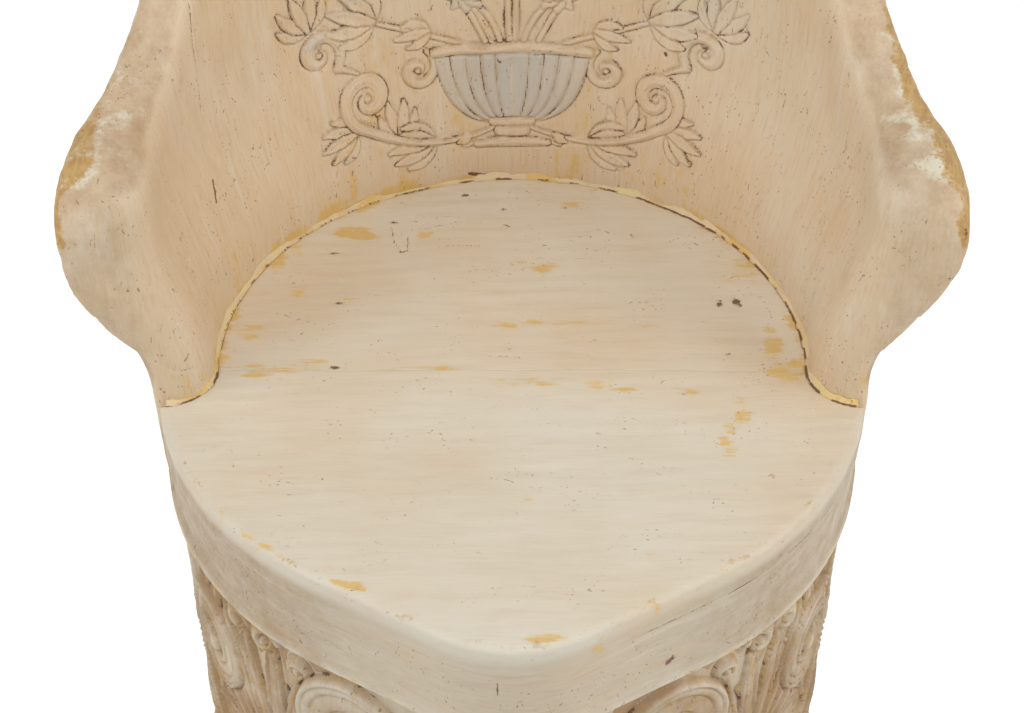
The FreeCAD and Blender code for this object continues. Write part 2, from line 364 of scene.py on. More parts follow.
def curve_points(start, bend, end, count=12):
    """Points along a quadratic curve."""
    steps = np.linspace(0.0, 1.0, count)[:, None]
    start, bend, end = np.array(start, float), np.array(bend, float), np.array(end, float)
    return (1 - steps) ** 2 * start + 2 * steps * (1 - steps) * bend + steps ** 2 * end


def spiral_points(centre, outer, inner, start, turns, count=56):
    """Points along a spiral from the outside to its eye; start in degrees."""
    steps = np.linspace(0.0, 1.0, count)
    radius = outer + (inner - outer) * steps ** 0.75
    angle = math.radians(start) + 2.0 * math.pi * turns * steps
    return np.stack([centre[0] + radius * np.cos(angle), centre[1] + radius * np.sin(angle)], axis=1)


class Carving:
    """A low relief worked out on flat points: strokes of the gouge laid over each other."""

    def __init__(self, points):
        self.points = points
        self.height = np.zeros(len(points))
        self.groove = np.zeros(len(points))

    def stroke(self, line, widths, rises, form="round", lines=0, line_width=1.1):
        """One blade or ribbon: half widths and rises along it, hollow or round, with incised lines."""
        line = np.asarray(line, float)
        reach = max(widths) + 3.0
        low = line.min(axis=0) - reach
        high = line.max(axis=0) + reach
        near = np.nonzero(((self.points >= low) & (self.points <= high)).all(axis=1))[0]
        if len(near) == 0:
            return
        away, share = line_distance(self.points[near], line)
        width = np.maximum(np.interp(share, np.linspace(0.0, 1.0, len(widths)), widths), 0.2)
        rise = np.interp(share, np.linspace(0.0, 1.0, len(rises)), rises)
        across = away / width
        if form == "flute":
            body = (0.62 + 0.38 * across ** 2) * ease(1.0 - across, 0.0, 0.22)
        else:
            body = np.clip(1.0 - across ** 2, 0.0, 1.0) ** 0.42
        height = rise * body
        cut = bell(away, width, line_width)
        for index in range(lines):
            spot = (index + 1.0) / (lines + 1.0)
            scratch = bell(away, spot * width, 0.8 * line_width) * ease(share, 0.02, 0.1)
            height = height - 0.09 * scratch
            cut = np.maximum(cut, 0.55 * scratch)
        inside = across < 1.0
        self.groove[near] = np.where(inside, cut, np.maximum(self.groove[near], cut))
        covered = np.maximum(height, 0.55 * self.height[near])
        self.height[near] = np.where(inside, covered, self.height[near])

    def scroll(self, centre, outer, turns, start, width, rise, lines=1, stem=(), line_width=1.1,
               form="round"):
        """A volute, with the start and bend of a stem that leads into it."""
        line = spiral_points(centre, outer, 0.3 * width, start, turns)
        widths = (0.5 * width, width, 0.95 * width, 0.7 * width, 0.4 * width)
        if stem:
            line = np.concatenate([curve_points(*stem, line[0], 30)[:-1], line])
            widths = (0.3 * width, 0.5 * width, 0.75 * width, width, width, 0.8 * width, 0.4 * width)
        self.stroke(line, widths, (0.7 * rise, rise, rise, rise), form, lines, line_width)
        eye = [centre, (centre[0] + 0.01, centre[1])]
        self.stroke(eye, (0.55 * width,) * 2, (rise, rise), "round", 0, line_width)

    def fan(self, root, first, last, blades, short, long, width, rise, bend=0.2, line_width=1.1):
        """A leaf of hollow blades spread from one root between two angles in degrees."""
        root = np.array(root, float)
        middle_blade = 0.5 * (blades - 1)
        for index in sorted(range(blades), key=lambda blade: -abs(blade - middle_blade)):
            share = index / max(1, blades - 1)
            turn = math.radians(first + (last - first) * share)
            reach = short + (long - short) * math.sin(math.pi * (0.12 + 0.76 * share))
            run = reach * np.array([math.cos(turn), math.sin(turn)])
            lean = bend * (index - middle_blade) / max(1.0, middle_blade)
            middle = root + 0.55 * run + lean * np.array([-run[1], run[0]])
            widths = (0.45 * width, width, 0.9 * width, 0.3 * width)
            self.stroke(curve_points(root, middle, root + run), widths, (0.6 * rise, 0.85 * rise, rise),
                        "flute", 1 if width > 8 else 0, line_width)


# Shader helpers

class NodeTree:
    """Adds nodes to one tree and links them."""

    def __init__(self, tree):
        self.tree = tree

    def node(self, kind, values=None, **settings):
        """Add a node; values are sockets to link from or plain numbers."""
        made = self.tree.nodes.new(kind)
        for key, value in settings.items():
            setattr(made, key, value)
        for key, value in (values or {}).items():
            self.feed(made.inputs[key], value)
        return made

    def feed(self, socket, value):
        """Link or set one input."""
        if isinstance(value, bpy.types.NodeSocket):
            self.tree.links.new(value, socket)
        else:
            socket.default_value = value

    def math(self, operation, *values):
        """Result of one operation on numbers."""
        return self.node("ShaderNodeMath", dict(enumerate(values)), operation=operation).outputs[0]

    def vector(self, operation, *values):
        """Result of one operation on vectors."""
        made = self.node("ShaderNodeVectorMath", dict(enumerate(values)), operation=operation)
        return made.outputs["Value" if operation == "LENGTH" else "Vector"]


class Shader(NodeTree):
    """Builds one procedural material."""

    def __init__(self, name):
        self.material = bpy.data.materials.new(name)
        self.material.use_nodes = True
        super().__init__(self.material.node_tree)
        self.surface = self.tree.nodes["Principled BSDF"]
        self.object_places = self.node("ShaderNodeTexCoord").outputs["Object"]

    def cover(self, colour, roughness):
        """Colour and roughness of the surface."""
        self.feed(self.surface.inputs["Base Color"], colour)
        self.feed(self.surface.inputs["Roughness"], roughness)

    def stretched(self, scale):
        """Object places squeezed or stretched per axis."""
        values = {"Vector": self.object_places, "Scale": scale}
        return self.node("ShaderNodeMapping", values).outputs["Vector"]

    def round_log(self, squeeze):
        """Places on the log's skin: round it at full size, along its grain squeezed."""
        parts = self.node("ShaderNodeSeparateXYZ", {0: self.object_places}).outputs
        ahead = self.sum(parts[1], 1.0, -AXIS_Y)
        flat = self.node("ShaderNodeCombineXYZ", {0: parts[0], 1: ahead}).outputs[0]
        run = self.times(self.sum(parts[2], self.vector("LENGTH", flat)), squeeze)
        along = self.node("ShaderNodeCombineXYZ", {2: run}).outputs[0]
        ring = self.vector("MULTIPLY", self.vector("NORMALIZE", flat), (RIM_RADIUS,) * 3)
        return self.vector("ADD", ring, along)

    def log_grain(self, squeeze):
        """Places round the log, and plain upright ones on the fronts of its arms."""
        values = {0: self.mask("nose"), 4: self.round_log(squeeze), 5: self.stretched((1.0, 1.0, squeeze))}
        return self.node("ShaderNodeMix", values, data_type="VECTOR").outputs[1]

    def noise(self, vector, scale, detail=3.0, roughness=0.55):
        """Noise from 0 to 1."""
        values = {"Vector": vector, "Scale": scale, "Detail": detail, "Roughness": roughness}
        return self.node("ShaderNodeTexNoise", values).outputs["Fac"]

    def sum(self, first, second, share=1.0):
        """first + second * share."""
        return self.math("MULTIPLY_ADD", second, share, first)

    def times(self, first, second):
        """Product of two values."""
        return self.math("MULTIPLY", first, second)

    def uneven(self, value, noise, amount):
        """A value that noise raises and lowers."""
        return self.sum(value, self.sum(noise, -0.5), amount)

    def ramp(self, value, low, high, bottom=0.0, top=1.0):
        """Smooth step of a value."""
        values = {"Value": value, "From Min": low, "From Max": high, "To Min": bottom, "To Max": top}
        return self.node("ShaderNodeMapRange", values, interpolation_type="SMOOTHSTEP").outputs["Result"]

    def mask(self, name):
        """A value stored on the mesh."""
        return self.node("ShaderNodeAttribute", attribute_name=name).outputs["Fac"]

    def mix(self, share, first, second):
        """Blend two colours."""
        made = self.node("ShaderNodeMix", data_type="RGBA")
        self.feed(made.inputs[0], share)
        for socket, value in ((made.inputs[6], first), (made.inputs[7], second)):
            self.feed(socket, value if isinstance(value, bpy.types.NodeSocket) else (*value, 1.0))
        return made.outputs[2]

    def coat(self, paint, colour, value, low, high, most):
        """Lay a colour over the paint where a value goes from low to high."""
        return self.mix(self.ramp(value, low, high, 0.0, most), paint, colour)

    def blend(self, share, first, second):
        """Blend two values."""
        values = {0: share, 2: first, 3: second}
        return self.node("ShaderNodeMix", values, data_type="FLOAT").outputs[0]

    def fleck(self, vector, scale, size, rarity):
        """Small ragged dots, one in a few cells, of uneven size."""
        drift = self.node("ShaderNodeTexNoise", {"Vector": self.object_places, "Scale": 60.0})
        moved = self.vector("MULTIPLY_ADD", drift.outputs["Color"], (0.02,) * 3, vector)
        cells = self.node("ShaderNodeTexVoronoi", {"Vector": moved, "Scale": scale})
        chance = self.node("ShaderNodeSeparateColor", {"Color": cells.outputs["Color"]}).outputs[0]
        ragged = self.noise(self.object_places, 700.0, 2.0)
        dot = self.ramp(self.uneven(cells.outputs["Distance"], ragged, 1.2 * size), size, 0.5 * size)
        return self.times(dot, self.ramp(chance, rarity, rarity + 0.12))

    def bump(self, height, strength, distance):
        """Fine relief."""
        values = {"Height": height, "Strength": strength, "Distance": distance}
        self.feed(self.surface.inputs["Normal"], self.node("ShaderNodeBump", values).outputs["Normal"])


def painted_wood(name, on_log, rarity, streaked=1.0):
    """Old cream paint over ochre, brushed along the log or across the seat, with flecks, wear and grime, and
    the painted shade and highlights that its masks carry.
    """
    colours = bpy.context.scene.chair_paint
    shader = Shader(name)
    grain = shader.log_grain(0.09) if on_log else shader.stretched((0.09, 1.0, 1.0))
    level = shader.stretched((0.12, 0.12, 1.0))
    dashes = shader.log_grain(0.45) if on_log else shader.stretched((0.45, 1.0, 1.0))
    brushed = shader.mask("brushed")
    streak = shader.blend(brushed, shader.noise(grain, 85.0, 4.0, 0.6), shader.noise(level, 95.0, 4.0, 0.6))
    fine = shader.blend(brushed, shader.noise(grain, 480.0, 3.0, 0.6), shader.noise(level, 480.0, 3.0, 0.6))
    cloud = shader.noise(shader.object_places, 11.0, 3.0)
    patch = shader.noise(shader.object_places, 75.0, 5.0, 0.65)

    paint = shader.mix(shader.uneven(shader.mask("pale"), cloud, 1.2), colours.pink, colours.pale)
    # The grey mask lays the cool cream of dulled paint, and also painted shade on the band's sides, the lobes
    # and the frieze's cove
    paint = shader.mix(shader.mask("grey"), paint, colours.grey)
    paint = shader.coat(paint, colours.warm, streak, 0.5, 0.78, 0.36 * streaked)
    paint = shader.coat(paint, colours.pale, streak, 0.46, 0.26, 0.4 * streaked)
    paint = shader.coat(paint, colours.pale, fine, 0.52, 0.72, 0.26)
    paint = shader.coat(paint, colours.dust_and_shade, fine, 0.5, 0.3, 0.16 * streaked)

    broken = shader.uneven(shader.uneven(shader.mask("ochre"), streak, 0.9), fine, 1.8)
    broken = shader.uneven(broken, patch, 1.8)
    paint = shader.coat(paint, colours.ochre, broken, 0.34, 0.95, 0.8)
    # The dirt mask lays old dirt in its brown, and also painted shade and shadow where the masks put it
    dirt = shader.uneven(shader.mask("dirt"), patch, 0.5)
    paint = shader.coat(paint, colours.dust_and_shade, dirt, 0.2, 0.8, 0.85)

    frayed = shader.noise(shader.object_places, 210.0, 5.0, 0.65)
    blotch = shader.noise(shader.object_places, 55.0, 5.0, 0.65)
    rubbed = shader.uneven(shader.uneven(shader.mask("worn"), patch, 0.9), frayed, 0.9)
    bloom = shader.uneven(shader.uneven(shader.mask("primed"), blotch, 1.9), frayed, 0.5)
    paint = shader.coat(paint, colours.primer, bloom, 0.32, 0.72, 0.68)
    rings = shader.noise(shader.stretched((1.0, 0.25, 1.0)), 420.0, 2.0, 0.5)
    timber = shader.coat(colours.stain, colours.bare, rings, 0.36, 0.66, 0.5)
    timber = shader.coat(timber, colours.bare, rubbed, 0.66, 1.1, 0.6)
    paint = shader.coat(paint, timber, rubbed, 0.34, 0.62, 0.92)
    paint = shader.mix(shader.times(shader.mask("blue"), 0.75), paint, colours.blue)

    crowd = shader.noise(shader.object_places, 30.0, 4.0, 0.6)
    spots = shader.fleck(dashes, 160.0, 0.15, 0.72)
    specks = shader.fleck(dashes, 420.0, 0.3, 0.6)
    fleck = shader.times(shader.sum(spots, specks, 0.8), shader.ramp(crowd, rarity, rarity + 0.14))
    paint = shader.mix(shader.times(fleck, 0.85), paint, colours.fleck)
    grit = shader.noise(shader.object_places, 520.0, 4.0, 0.6)
    dark = shader.ramp(shader.uneven(shader.mask("dark"), grit, 0.9), 0.34, 0.6, 0.0, 0.92)
    shader.cover(shader.mix(dark, paint, colours.grime), shader.ramp(patch, 0.3, 0.7, 0.46, 0.62))
    height = shader.sum(shader.sum(shader.times(streak, 0.5), fine, 0.35), shader.sum(fleck, dark, 1.0), -0.9)
    shader.bump(height, 0.4, 0.0004)
    return shader.material


def joint_paint(name):
    """Yellowish filler with a dark crack along it."""
    colours = bpy.context.scene.chair_paint
    shader = Shader(name)
    patch = shader.noise(shader.object_places, 60.0, 4.0, 0.6)
    fine = shader.noise(shader.object_places, 500.0, 4.0, 0.65)
    paint = shader.mix(shader.ramp(patch, 0.44, 0.6, 0.15, 1.0), colours.pink, colours.filler)
    ochre = shader.uneven(shader.mask("ochre"), fine, 1.2)
    paint = shader.coat(paint, colours.ochre, ochre, 0.3, 0.7, 0.8)
    dark = shader.ramp(shader.uneven(shader.mask("dark"), fine, 1.6), 0.42, 0.66, 0.0, 0.9)
    shader.cover(shader.mix(dark, paint, colours.grime), shader.ramp(patch, 0.3, 0.7, 0.5, 0.65))
    shader.bump(shader.sum(fine, dark, -1.0), 0.5, 0.0003)
    return shader.material


def bare_timber(name):
    """Unpainted aged wood with grain along the log."""
    colours = bpy.context.scene.chair_paint
    shader = Shader(name)
    grain = shader.stretched((1.0, 1.0, 0.08))
    streak = shader.noise(grain, 120.0, 5.0, 0.6)
    fine = shader.noise(grain, 600.0, 2.0)
    wood = shader.mix(shader.ramp(streak, 0.35, 0.7), colours.heart, colours.bare)
    wood = shader.coat(wood, colours.grime, fine, 0.55, 0.75, 0.5)
    shader.cover(wood, shader.ramp(streak, 0.3, 0.7, 0.7, 0.85))
    shader.bump(shader.sum(streak, fine, 0.5), 0.5, 0.0008)
    return shader.material


def forged_iron(name):
    """Dull forged nails with rust."""
    colours = bpy.context.scene.chair_paint
    shader = Shader(name)
    blotch = shader.noise(shader.object_places, 400.0, 4.0, 0.6)
    metal = shader.mix(shader.ramp(blotch, 0.45, 0.62), srgb(62, 58, 54), colours.bare)
    shader.cover(metal, shader.ramp(blotch, 0.4, 0.65, 0.45, 0.8))
    shader.feed(shader.surface.inputs["Metallic"], shader.ramp(blotch, 0.6, 0.45))
    shader.bump(blotch, 0.5, 0.0003)
    return shader.material


# Forms

def along_log(run, radius):
    """Place and outward direction on the log's outline, by the run from the prow's tip."""
    side = np.sign(run)
    run = np.abs(run)
    nose = PROW_NOSE * CHEEK
    cheek = (radius - PROW_NOSE) * math.tan(CHEEK)
    tip_y = AXIS_Y - (radius - PROW_NOSE) / math.cos(CHEEK)
    turn = np.where(run < nose, run / PROW_NOSE, CHEEK)
    turn = np.where(run > nose + cheek, CHEEK + (run - nose - cheek) / radius, turn)
    flat = np.clip(run - nose, 0.0, cheek)
    on_nose_x = PROW_NOSE * np.sin(np.minimum(turn, CHEEK)) + flat * math.cos(CHEEK)
    on_nose_y = tip_y - PROW_NOSE * np.cos(np.minimum(turn, CHEEK)) + flat * math.sin(CHEEK)
    round_log = run > nose + cheek
    x = np.where(round_log, radius * np.sin(turn), on_nose_x)
    y = np.where(round_log, AXIS_Y - radius * np.cos(turn), on_nose_y)
    return side * x, y, side * np.sin(turn), -np.cos(turn)


def half_girth(radius):
    """Run from the prow's tip round to the middle of the back."""
    return PROW_NOSE * CHEEK + (radius - PROW_NOSE) * math.tan(CHEEK) + radius * (math.pi - CHEEK)


def wall_place(points):
    """Angle round the hollow from the back's middle, radius, and height above the seat."""
    across = points[:, 0]
    ahead = points[:, 1] - AXIS_Y
    return np.arctan2(across, ahead), np.hypot(across, ahead), points[:, 2] - SEAT_Z


def log_radius(points):
    """Radius of the log outline that passes through each point."""
    across = np.abs(points[:, 0])
    ahead = AXIS_Y - points[:, 1]
    turn = np.arctan2(across, ahead)
    on_cheek = across * math.sin(CHEEK) + ahead * math.cos(CHEEK)
    low, high = (np.full(len(points), limit) for limit in SEARCH_RADII)
    for _ in range(SEARCH_ROUNDS):
        middle = 0.5 * (low + high)
        tip = (middle - PROW_NOSE) / math.cos(CHEEK)
        beyond = np.hypot(across, ahead - tip) > PROW_NOSE
        low = np.where(beyond, middle, low)
        high = np.where(beyond, high, middle)
    value = np.where(turn < CHEEK, np.maximum(on_cheek, 0.0), np.hypot(across, ahead))
    in_nose = (across < PROW_NOSE * math.sin(CHEEK)) & (turn < CHEEK)
    return np.where(in_nose, 0.5 * (low + high), value)


def hollow_line(gap, round_steps, nose_steps):
    """Right half of a line a gap away from the hollow's wall and the arm's nose, about the hollow's axis."""
    nose_start = ARM_FRONT - math.asin(ARM_NOSE / (HOLLOW_RADIUS + ARM_NOSE))
    centre = np.array([math.sin(nose_start), math.cos(nose_start)]) * (HOLLOW_RADIUS + ARM_NOSE)
    turns = np.linspace(0.0, nose_start, round_steps)
    line = [np.array([math.sin(turn), math.cos(turn)]) * (HOLLOW_RADIUS - gap) for turn in turns]
    heading = math.atan2(-centre[0], -centre[1])
    for step in np.linspace(0.0, 0.5 * math.pi, nose_steps)[1:]:
        turn = heading - step
        line.append(centre + (ARM_NOSE + gap) * np.array([math.sin(turn), math.cos(turn)]))
    return line


def line_marks(points, lines):
    """Strength of marks along lines: half width, strength and places of each, all in mm."""
    total = np.zeros(len(points))
    for wide, level, *line in lines:
        away, _ = line_distance(points, np.array(line))
        total = np.maximum(total, level * bell(away, 0.0, wide))
    return total


def smeared(angle, away, smears):
    """Strength of the ochre along the joint, by the angle in degrees and the distance from it in mm."""
    total = np.zeros(len(angle))
    for middle, span, reach, level in smears:
        near = np.exp(-((angle - middle) / span) ** 4 - (away / reach) ** 2)
        total = np.maximum(total, level * near)
    return total


def seat_lift(points):
    """How far the seat's worn top stands above or below level."""
    flat = np.column_stack([points[:, :2], np.full(len(points), SEAT_Z)])
    return 0.0004 * waves(flat, 0.09, 31) + 0.00012 * waves(flat, 0.012, 32, (5.0, 1.0, 1.0))


def band_tone_and_shade(points):
    """How grey and how dark the upright front is, by the way across it: a little dirt all over, and painted
    shade that makes its turned sides greyer and darker.
    """
    across = points[:, 0]
    # Painted shade: the sides are greyer and darker than the middle, as less light falls on them
    grey = 0.72 - 0.3 * fade(np.abs(across), 0.05, 0.14)
    return grey, 0.1 + 0.4 * ease(-across, 0.06, 0.16) + 0.33 * ease(across, 0.06, 0.16)


def hewn(piece, amount, seed):
    """Wave a surface in and out as a hand-hewn one does."""
    points = places(piece)
    lift = 0.7 * waves(points, 0.07, seed) + 0.35 * waves(points, 0.022, seed + 1, (1.0, 1.0, 3.0))
    return points + normals(piece) * (amount * lift)[:, None]


# Stage and camera

# Lamps: name, place and aim in metres, size in metres, power in watts
LAMPS = [
    ("key", (0.0, -1.3, 2.5), (0.0, 0.05, 0.5), 1.3, 18.8),
    ("left", (-1.5, -0.6, 1.4), (0.1, 0.0, 0.55), 1.0, 11.8),
    ("right", (1.5, -0.6, 1.4), (-0.1, 0.0, 0.55), 1.0, 13.2),
    ("rear", (0.2, 1.8, 2.3), (0.0, 0.0, 0.6), 1.4, 6.0),
]

# The camera's place from the seat's middle in metres, its angle and its lens in mm
CAMERA_BACK = 1.133
CAMERA_RISE = 1.002
CAMERA_ANGLE = math.radians(48.5)
CAMERA_LENS = 79.1
CAMERA_SENSOR = 36.0
FLOOR_SIZE = 14.0


class CHAIR_OT_stage(bpy.types.Operator):
    """Floor, soft light and the camera at the photograph's angle"""
    bl_idname = "chair.stage"
    bl_label = "Stage"

    def execute(self, context):
        self.floor()
        self.sky(context.scene)
        for lamp in LAMPS:
            self.lamp(*lamp)
        data = bpy.data.cameras.new("camera")
        data.sensor_width = CAMERA_SENSOR
        data.lens = CAMERA_LENS
        camera = bpy.data.objects.new("camera", data)
        camera.location = (0.0, AXIS_Y - CAMERA_BACK, SEAT_Z + CAMERA_RISE)
        camera.rotation_euler = (CAMERA_ANGLE, 0.0, 0.0)
        context.scene.collection.objects.link(camera)
        context.scene.camera = camera
        context.scene.view_settings.view_transform = "Standard"
        return {"FINISHED"}

    def floor(self):
        """A pale floor that the camera sees as white."""
        bpy.ops.object.select_all(action="DESELECT")
        bpy.ops.mesh.primitive_plane_add(size=FLOOR_SIZE, location=(0.0, 0.0, 0.0))
        floor = bpy.context.active_object
        floor.name = "floor"
        shader = Shader("pale_floor")
        shader.cover((0.9, 0.9, 0.9, 1.0), 0.9)
        path = shader.node("ShaderNodeLightPath").outputs
        seen = shader.math("MAXIMUM", path["Is Camera Ray"], path["Is Glossy Ray"])
        seen = shader.math("MAXIMUM", seen, path["Is Transmission Ray"])
        glow = shader.ramp(shader.vector("LENGTH", shader.object_places), 1.0, 3.0, 0.45, 1.0)
        shader.feed(shader.surface.inputs["Emission Color"], (1.0, 1.0, 1.0, 1.0))
        shader.feed(shader.surface.inputs["Emission Strength"], shader.times(seen, glow))
        floor.data.materials.append(shader.material)

    def sky(self, scene):
        """Even white light from all round, softer on the chair than to the eye."""
        world = bpy.data.worlds.new("studio")
        scene.world = world
        world.use_nodes = True
        nodes = NodeTree(world.node_tree)
        background = world.node_tree.nodes["Background"]
        path = nodes.node("ShaderNodeLightPath").outputs
        seen = nodes.math("MAXIMUM", path["Is Camera Ray"], path["Is Glossy Ray"])
        level = nodes.node("ShaderNodeMapRange", {"Value": seen, "To Min": 0.4, "To Max": 1.0})
        nodes.feed(background.inputs["Color"], (1.0, 0.99, 0.97, 1.0))
        nodes.feed(background.inputs["Strength"], level.outputs["Result"])

    def lamp(self, name, place, target, size, power):
        """One square soft lamp aimed at a point."""
        data = bpy.data.lights.new(name, "AREA")
        data.size = size
        data.energy = power
        lamp = bpy.data.objects.new(name, data)
        lamp.location = place
        aim = [end - start for start, end in zip(place, target)]
        flat = math.hypot(aim[0], aim[1])
        lamp.rotation_euler = (math.atan2(flat, -aim[2]), 0.0, math.atan2(aim[1], aim[0]) - 0.5 * math.pi)
        bpy.context.scene.collection.objects.link(lamp)


# Back and arms

# Checks, dents and holes of the log: half width in mm, strength, then places in mm
LOG_MARKS = [
    (0.8, 0.6, (-207.9, 96.2, 653.8), (-207.1, 89.9, 628.1), (-206.7, 87.9, 602.2), (-206.1, 84.7, 576.5)),
    (1.3, 0.7, (-201.2, 72.5, 527.8), (-200.2, 70.2, 521.1), (-199.2, 66.5, 513)),
    (1.5, 1, (108, 186, 553.5), (108.5, 185.7, 552)),
    (0.9, 0.55, (-232, -55.1, 486), (-226.4, -54, 472.9), (-215.9, -51, 465.1), (-205.2, -42.9, 463)),
    (1.6, 1, (-229.7, -54.6, 452.5), (-229, -54.5, 451.8)),
    (1.4, 1, (-228.1, -54.3, 449.6), (-227.4, -54.2, 449.2)),
    (1.7, 0.95, (-30.9, 190.2, 444.6), (-19.9, 191.6, 441.7), (-8.9, 192.3, 443)),
    (3.2, 0.72, (96.5, -222.7, 378), (99, -221.2, 379.5)),
    (0.9, 0.8, (-8.9, -267.6, 392), (-8.6, -267.6, 412)),
    (2.4, 0.6, (278.4, -59.9, 589.5), (277.6, -60.2, 584)),
    (1.6, 0.8, (271.7, -63.3, 552.8), (271, -63.6, 546)),
    (1, 0.6, (246, -62, 545), (232, -60, 544)),
]

# How far each arm's side stands out beyond the solid, in mm, by the height in mm above the seat
LEFT_BELLY = [(-60, 0), (0, 3), (30, 4), (45, 5), (60, 10), (93, 9.5), (107, 6), (118, 2.5), (130, -1),
              (160, -1)]
RIGHT_BELLY = [(-60, 0), (0, 2), (30, 1), (45, 1), (60, 3.5), (93, 4), (107, 2), (118, 1), (130, -1),
               (160, -1)]
RIM_FULLNESS = 8.0

# Ochre smears on the wall along the joint: angle and half span in degrees, reach in mm, strength
WALL_SMEARS = [(-54, 7, 10, 1.2), (-40, 5, 18, 0.9), (-68, 9, 6, 0.8), (-24, 7, 9, 0.9), (-12, 8, 6, 0.7),
               (12, 7, 6, 0.6), (41, 4, 15, 1.0), (53, 9, 6, 0.9), (72, 10, 5, 0.75), (83, 3, 10, 0.7),
               (-88, 6, 5, 0.6)]

# Width in mm and strength of the worn strip along the outer lip, by the angle in degrees
WORN_WIDTHS = [(-104, 5), (-99, 6), (-96, 20), (-86, 22), (-80, 12), (-60, 8), (60, 8), (70, 12), (80, 18),
               (96, 20), (99, 8), (104, 6)]
WORN_LEVELS = [(-104, 0.5), (-99, 0.72), (-94, 0.7), (-86, 0.62), (-81, 0.42), (-74, 0.26), (60, 0.28),
               (68, 0.5), (76, 0.74), (96, 0.78), (100, 0.7), (104, 0.5)]


class CHAIR_OT_back_and_arms(bpy.types.Operator):
    """The log above its carved base: band, arms and carved back"""
    bl_idname = "chair.back_and_arms"
    bl_label = "Back and arms"

    def execute(self, context):
        form = context.scene.chair_form
        piece = cad_copy("trunk", "back_and_arms")
        cut_level(piece, BAND_Z + 2.0 * OVERLAP, True)
        apply_modifier(piece, "REMESH", mode="VOXEL", voxel_size=form.wall_grain)
        apply_modifier(piece, "SMOOTH", factor=0.5, iterations=12)
        self.fill_arms(piece)
        self.smooth_noses(piece)
        set_places(piece, hewn(piece, form.hewn, 3))
        self.square_rim(piece, LEDGE_Z, 1.0, AXIS_Y - 0.05)
        self.square_rim(piece, BAND_Z, -1.0, CAD_BOX[1][1])
        self.thin_plain(piece)
        piece.data.set_sharp_from_angle(angle=SHARP_EDGE)
        self.refine_details(piece)
        self.carve(piece, form)
        self.wear(piece)
        finish_piece(piece, "painted_wood", painted_wood("painted_log", True, 0.42), "trunk")
        return {"FINISHED"}

    def fill_arms(self, piece):
        """Fuller bellies and rims of the two arms, which differ a little as hand-hewn ones do."""
        points = places(piece)
        facing = normals(piece)
        angle, _, height = wall_place(points)
        turned = np.degrees(np.abs(angle))
        side = np.sign(points[:, 0])
        left = from_table(height * TO_MM, LEFT_BELLY)
        right = from_table(height * TO_MM, RIGHT_BELLY)
        belly = np.where(side < 0.0, left, right) * ease(turned, 82.0, 97.0) * (points[:, 1] > AXIS_Y - 0.075)
        rim = RIM_FULLNESS * bell(turned, 86.0, 8.0) * ease(height, 0.1, 0.16)
        points[:, 0] += side * MM * (belly * ease(facing[:, 0] * side, -0.1, 0.4)
                                     + rim * ease(facing[:, 0] * side, -0.3, 0.4))
        set_places(piece, points)

    def smooth_noses(self, piece):
        """Run the fronts of both arms into one smooth curve."""
        angle, _, height = wall_place(places(piece))
        fair(piece, ease(np.degrees(np.abs(angle)), 80.0, 92.0) * ease(height, 0.012, 0.03), 42)

    def square_rim(self, piece, level, side, rear):
        """Bring a rounded rim of the band, its upper or lower one, back out to the log's outline."""
        points = places(piece)
        step = 0.0005
        radius = log_radius(points)
        slope_x = (log_radius(points + (step, 0.0, 0.0)) - radius) / step
        slope_y = (log_radius(points + (0.0, step, 0.0)) - radius) / step
        long = np.maximum(np.hypot(slope_x, slope_y), 0.2)
        outwards = np.column_stack([slope_x / long, slope_y / long])
        facing = (normals(piece)[:, :2] * outwards).sum(axis=1)
        depth = (level - points[:, 2]) * side
        rim = (depth > -MM) & (depth < RIM_REACH) & (points[:, 1] < rear)
        rim &= (facing > 0.25) & (radius > LOG_RADIUS - RIM_REACH)
        push = np.where(rim, LOG_RADIUS - RIM_INSET - radius, 0.0)
        points[:, :2] += outwards * push[:, None]
        points[:, 2] = np.where(rim & (depth < RIM_LIP), level + 2.0 * OVERLAP * side, points[:, 2])
        set_places(piece, points)

    def thin_plain(self, piece):
        """Fewer faces on the hidden ledge and the plain outside of the back."""
        points = places(piece)
        facing = normals(piece)
        angle, radius, height = wall_place(points)
        upright = np.abs(facing[:, 2]) < 0.3
        outside = ~self.towards_axis(points, facing) & upright & (height > 0.0)
        outside &= np.abs(angle) < PLAIN_SPAN
        hidden = (points[:, 2] < LEDGE_Z + 0.003) & (radius < HOLLOW_RADIUS - 0.008)
        plain = np.nonzero(outside | hidden)[0].tolist()
        piece.vertex_groups.new(name="plain").add(plain, 1.0, "REPLACE")
        apply_modifier(piece, "DECIMATE", ratio=PLAIN_KEPT, vertex_group="plain")
        piece.vertex_groups.clear()

    def back_sheet(self, points):
        """Flat places on the inside of the back: run from its middle and height above the seat, in mm."""
        angle, _, height = wall_place(points)
        return np.stack([angle * SHEET_RADIUS, height * TO_MM], axis=1)

    def towards_axis(self, points, facing):
        """Which points face the hollow's axis."""
        return (facing[:, 0] * points[:, 0] + facing[:, 1] * (points[:, 1] - AXIS_Y)) < 0.0

    def refine_details(self, piece):
        """Finer mesh under the carving of the back and the small marks."""
        middles = face_middles(piece)
        inwards = self.towards_axis(middles, vectors(piece.data.polygons, "normal"))
        carving = self.design(self.back_sheet(middles))
        chosen = inwards & ((carving.height > 0.0) | (carving.groove > 0.02))
        for wide, _, *line in LOG_MARKS:
            away, _ = line_distance(middles * TO_MM, np.array(line))
            chosen |= away < wide + 3.0
        refine(piece, chosen, 2)

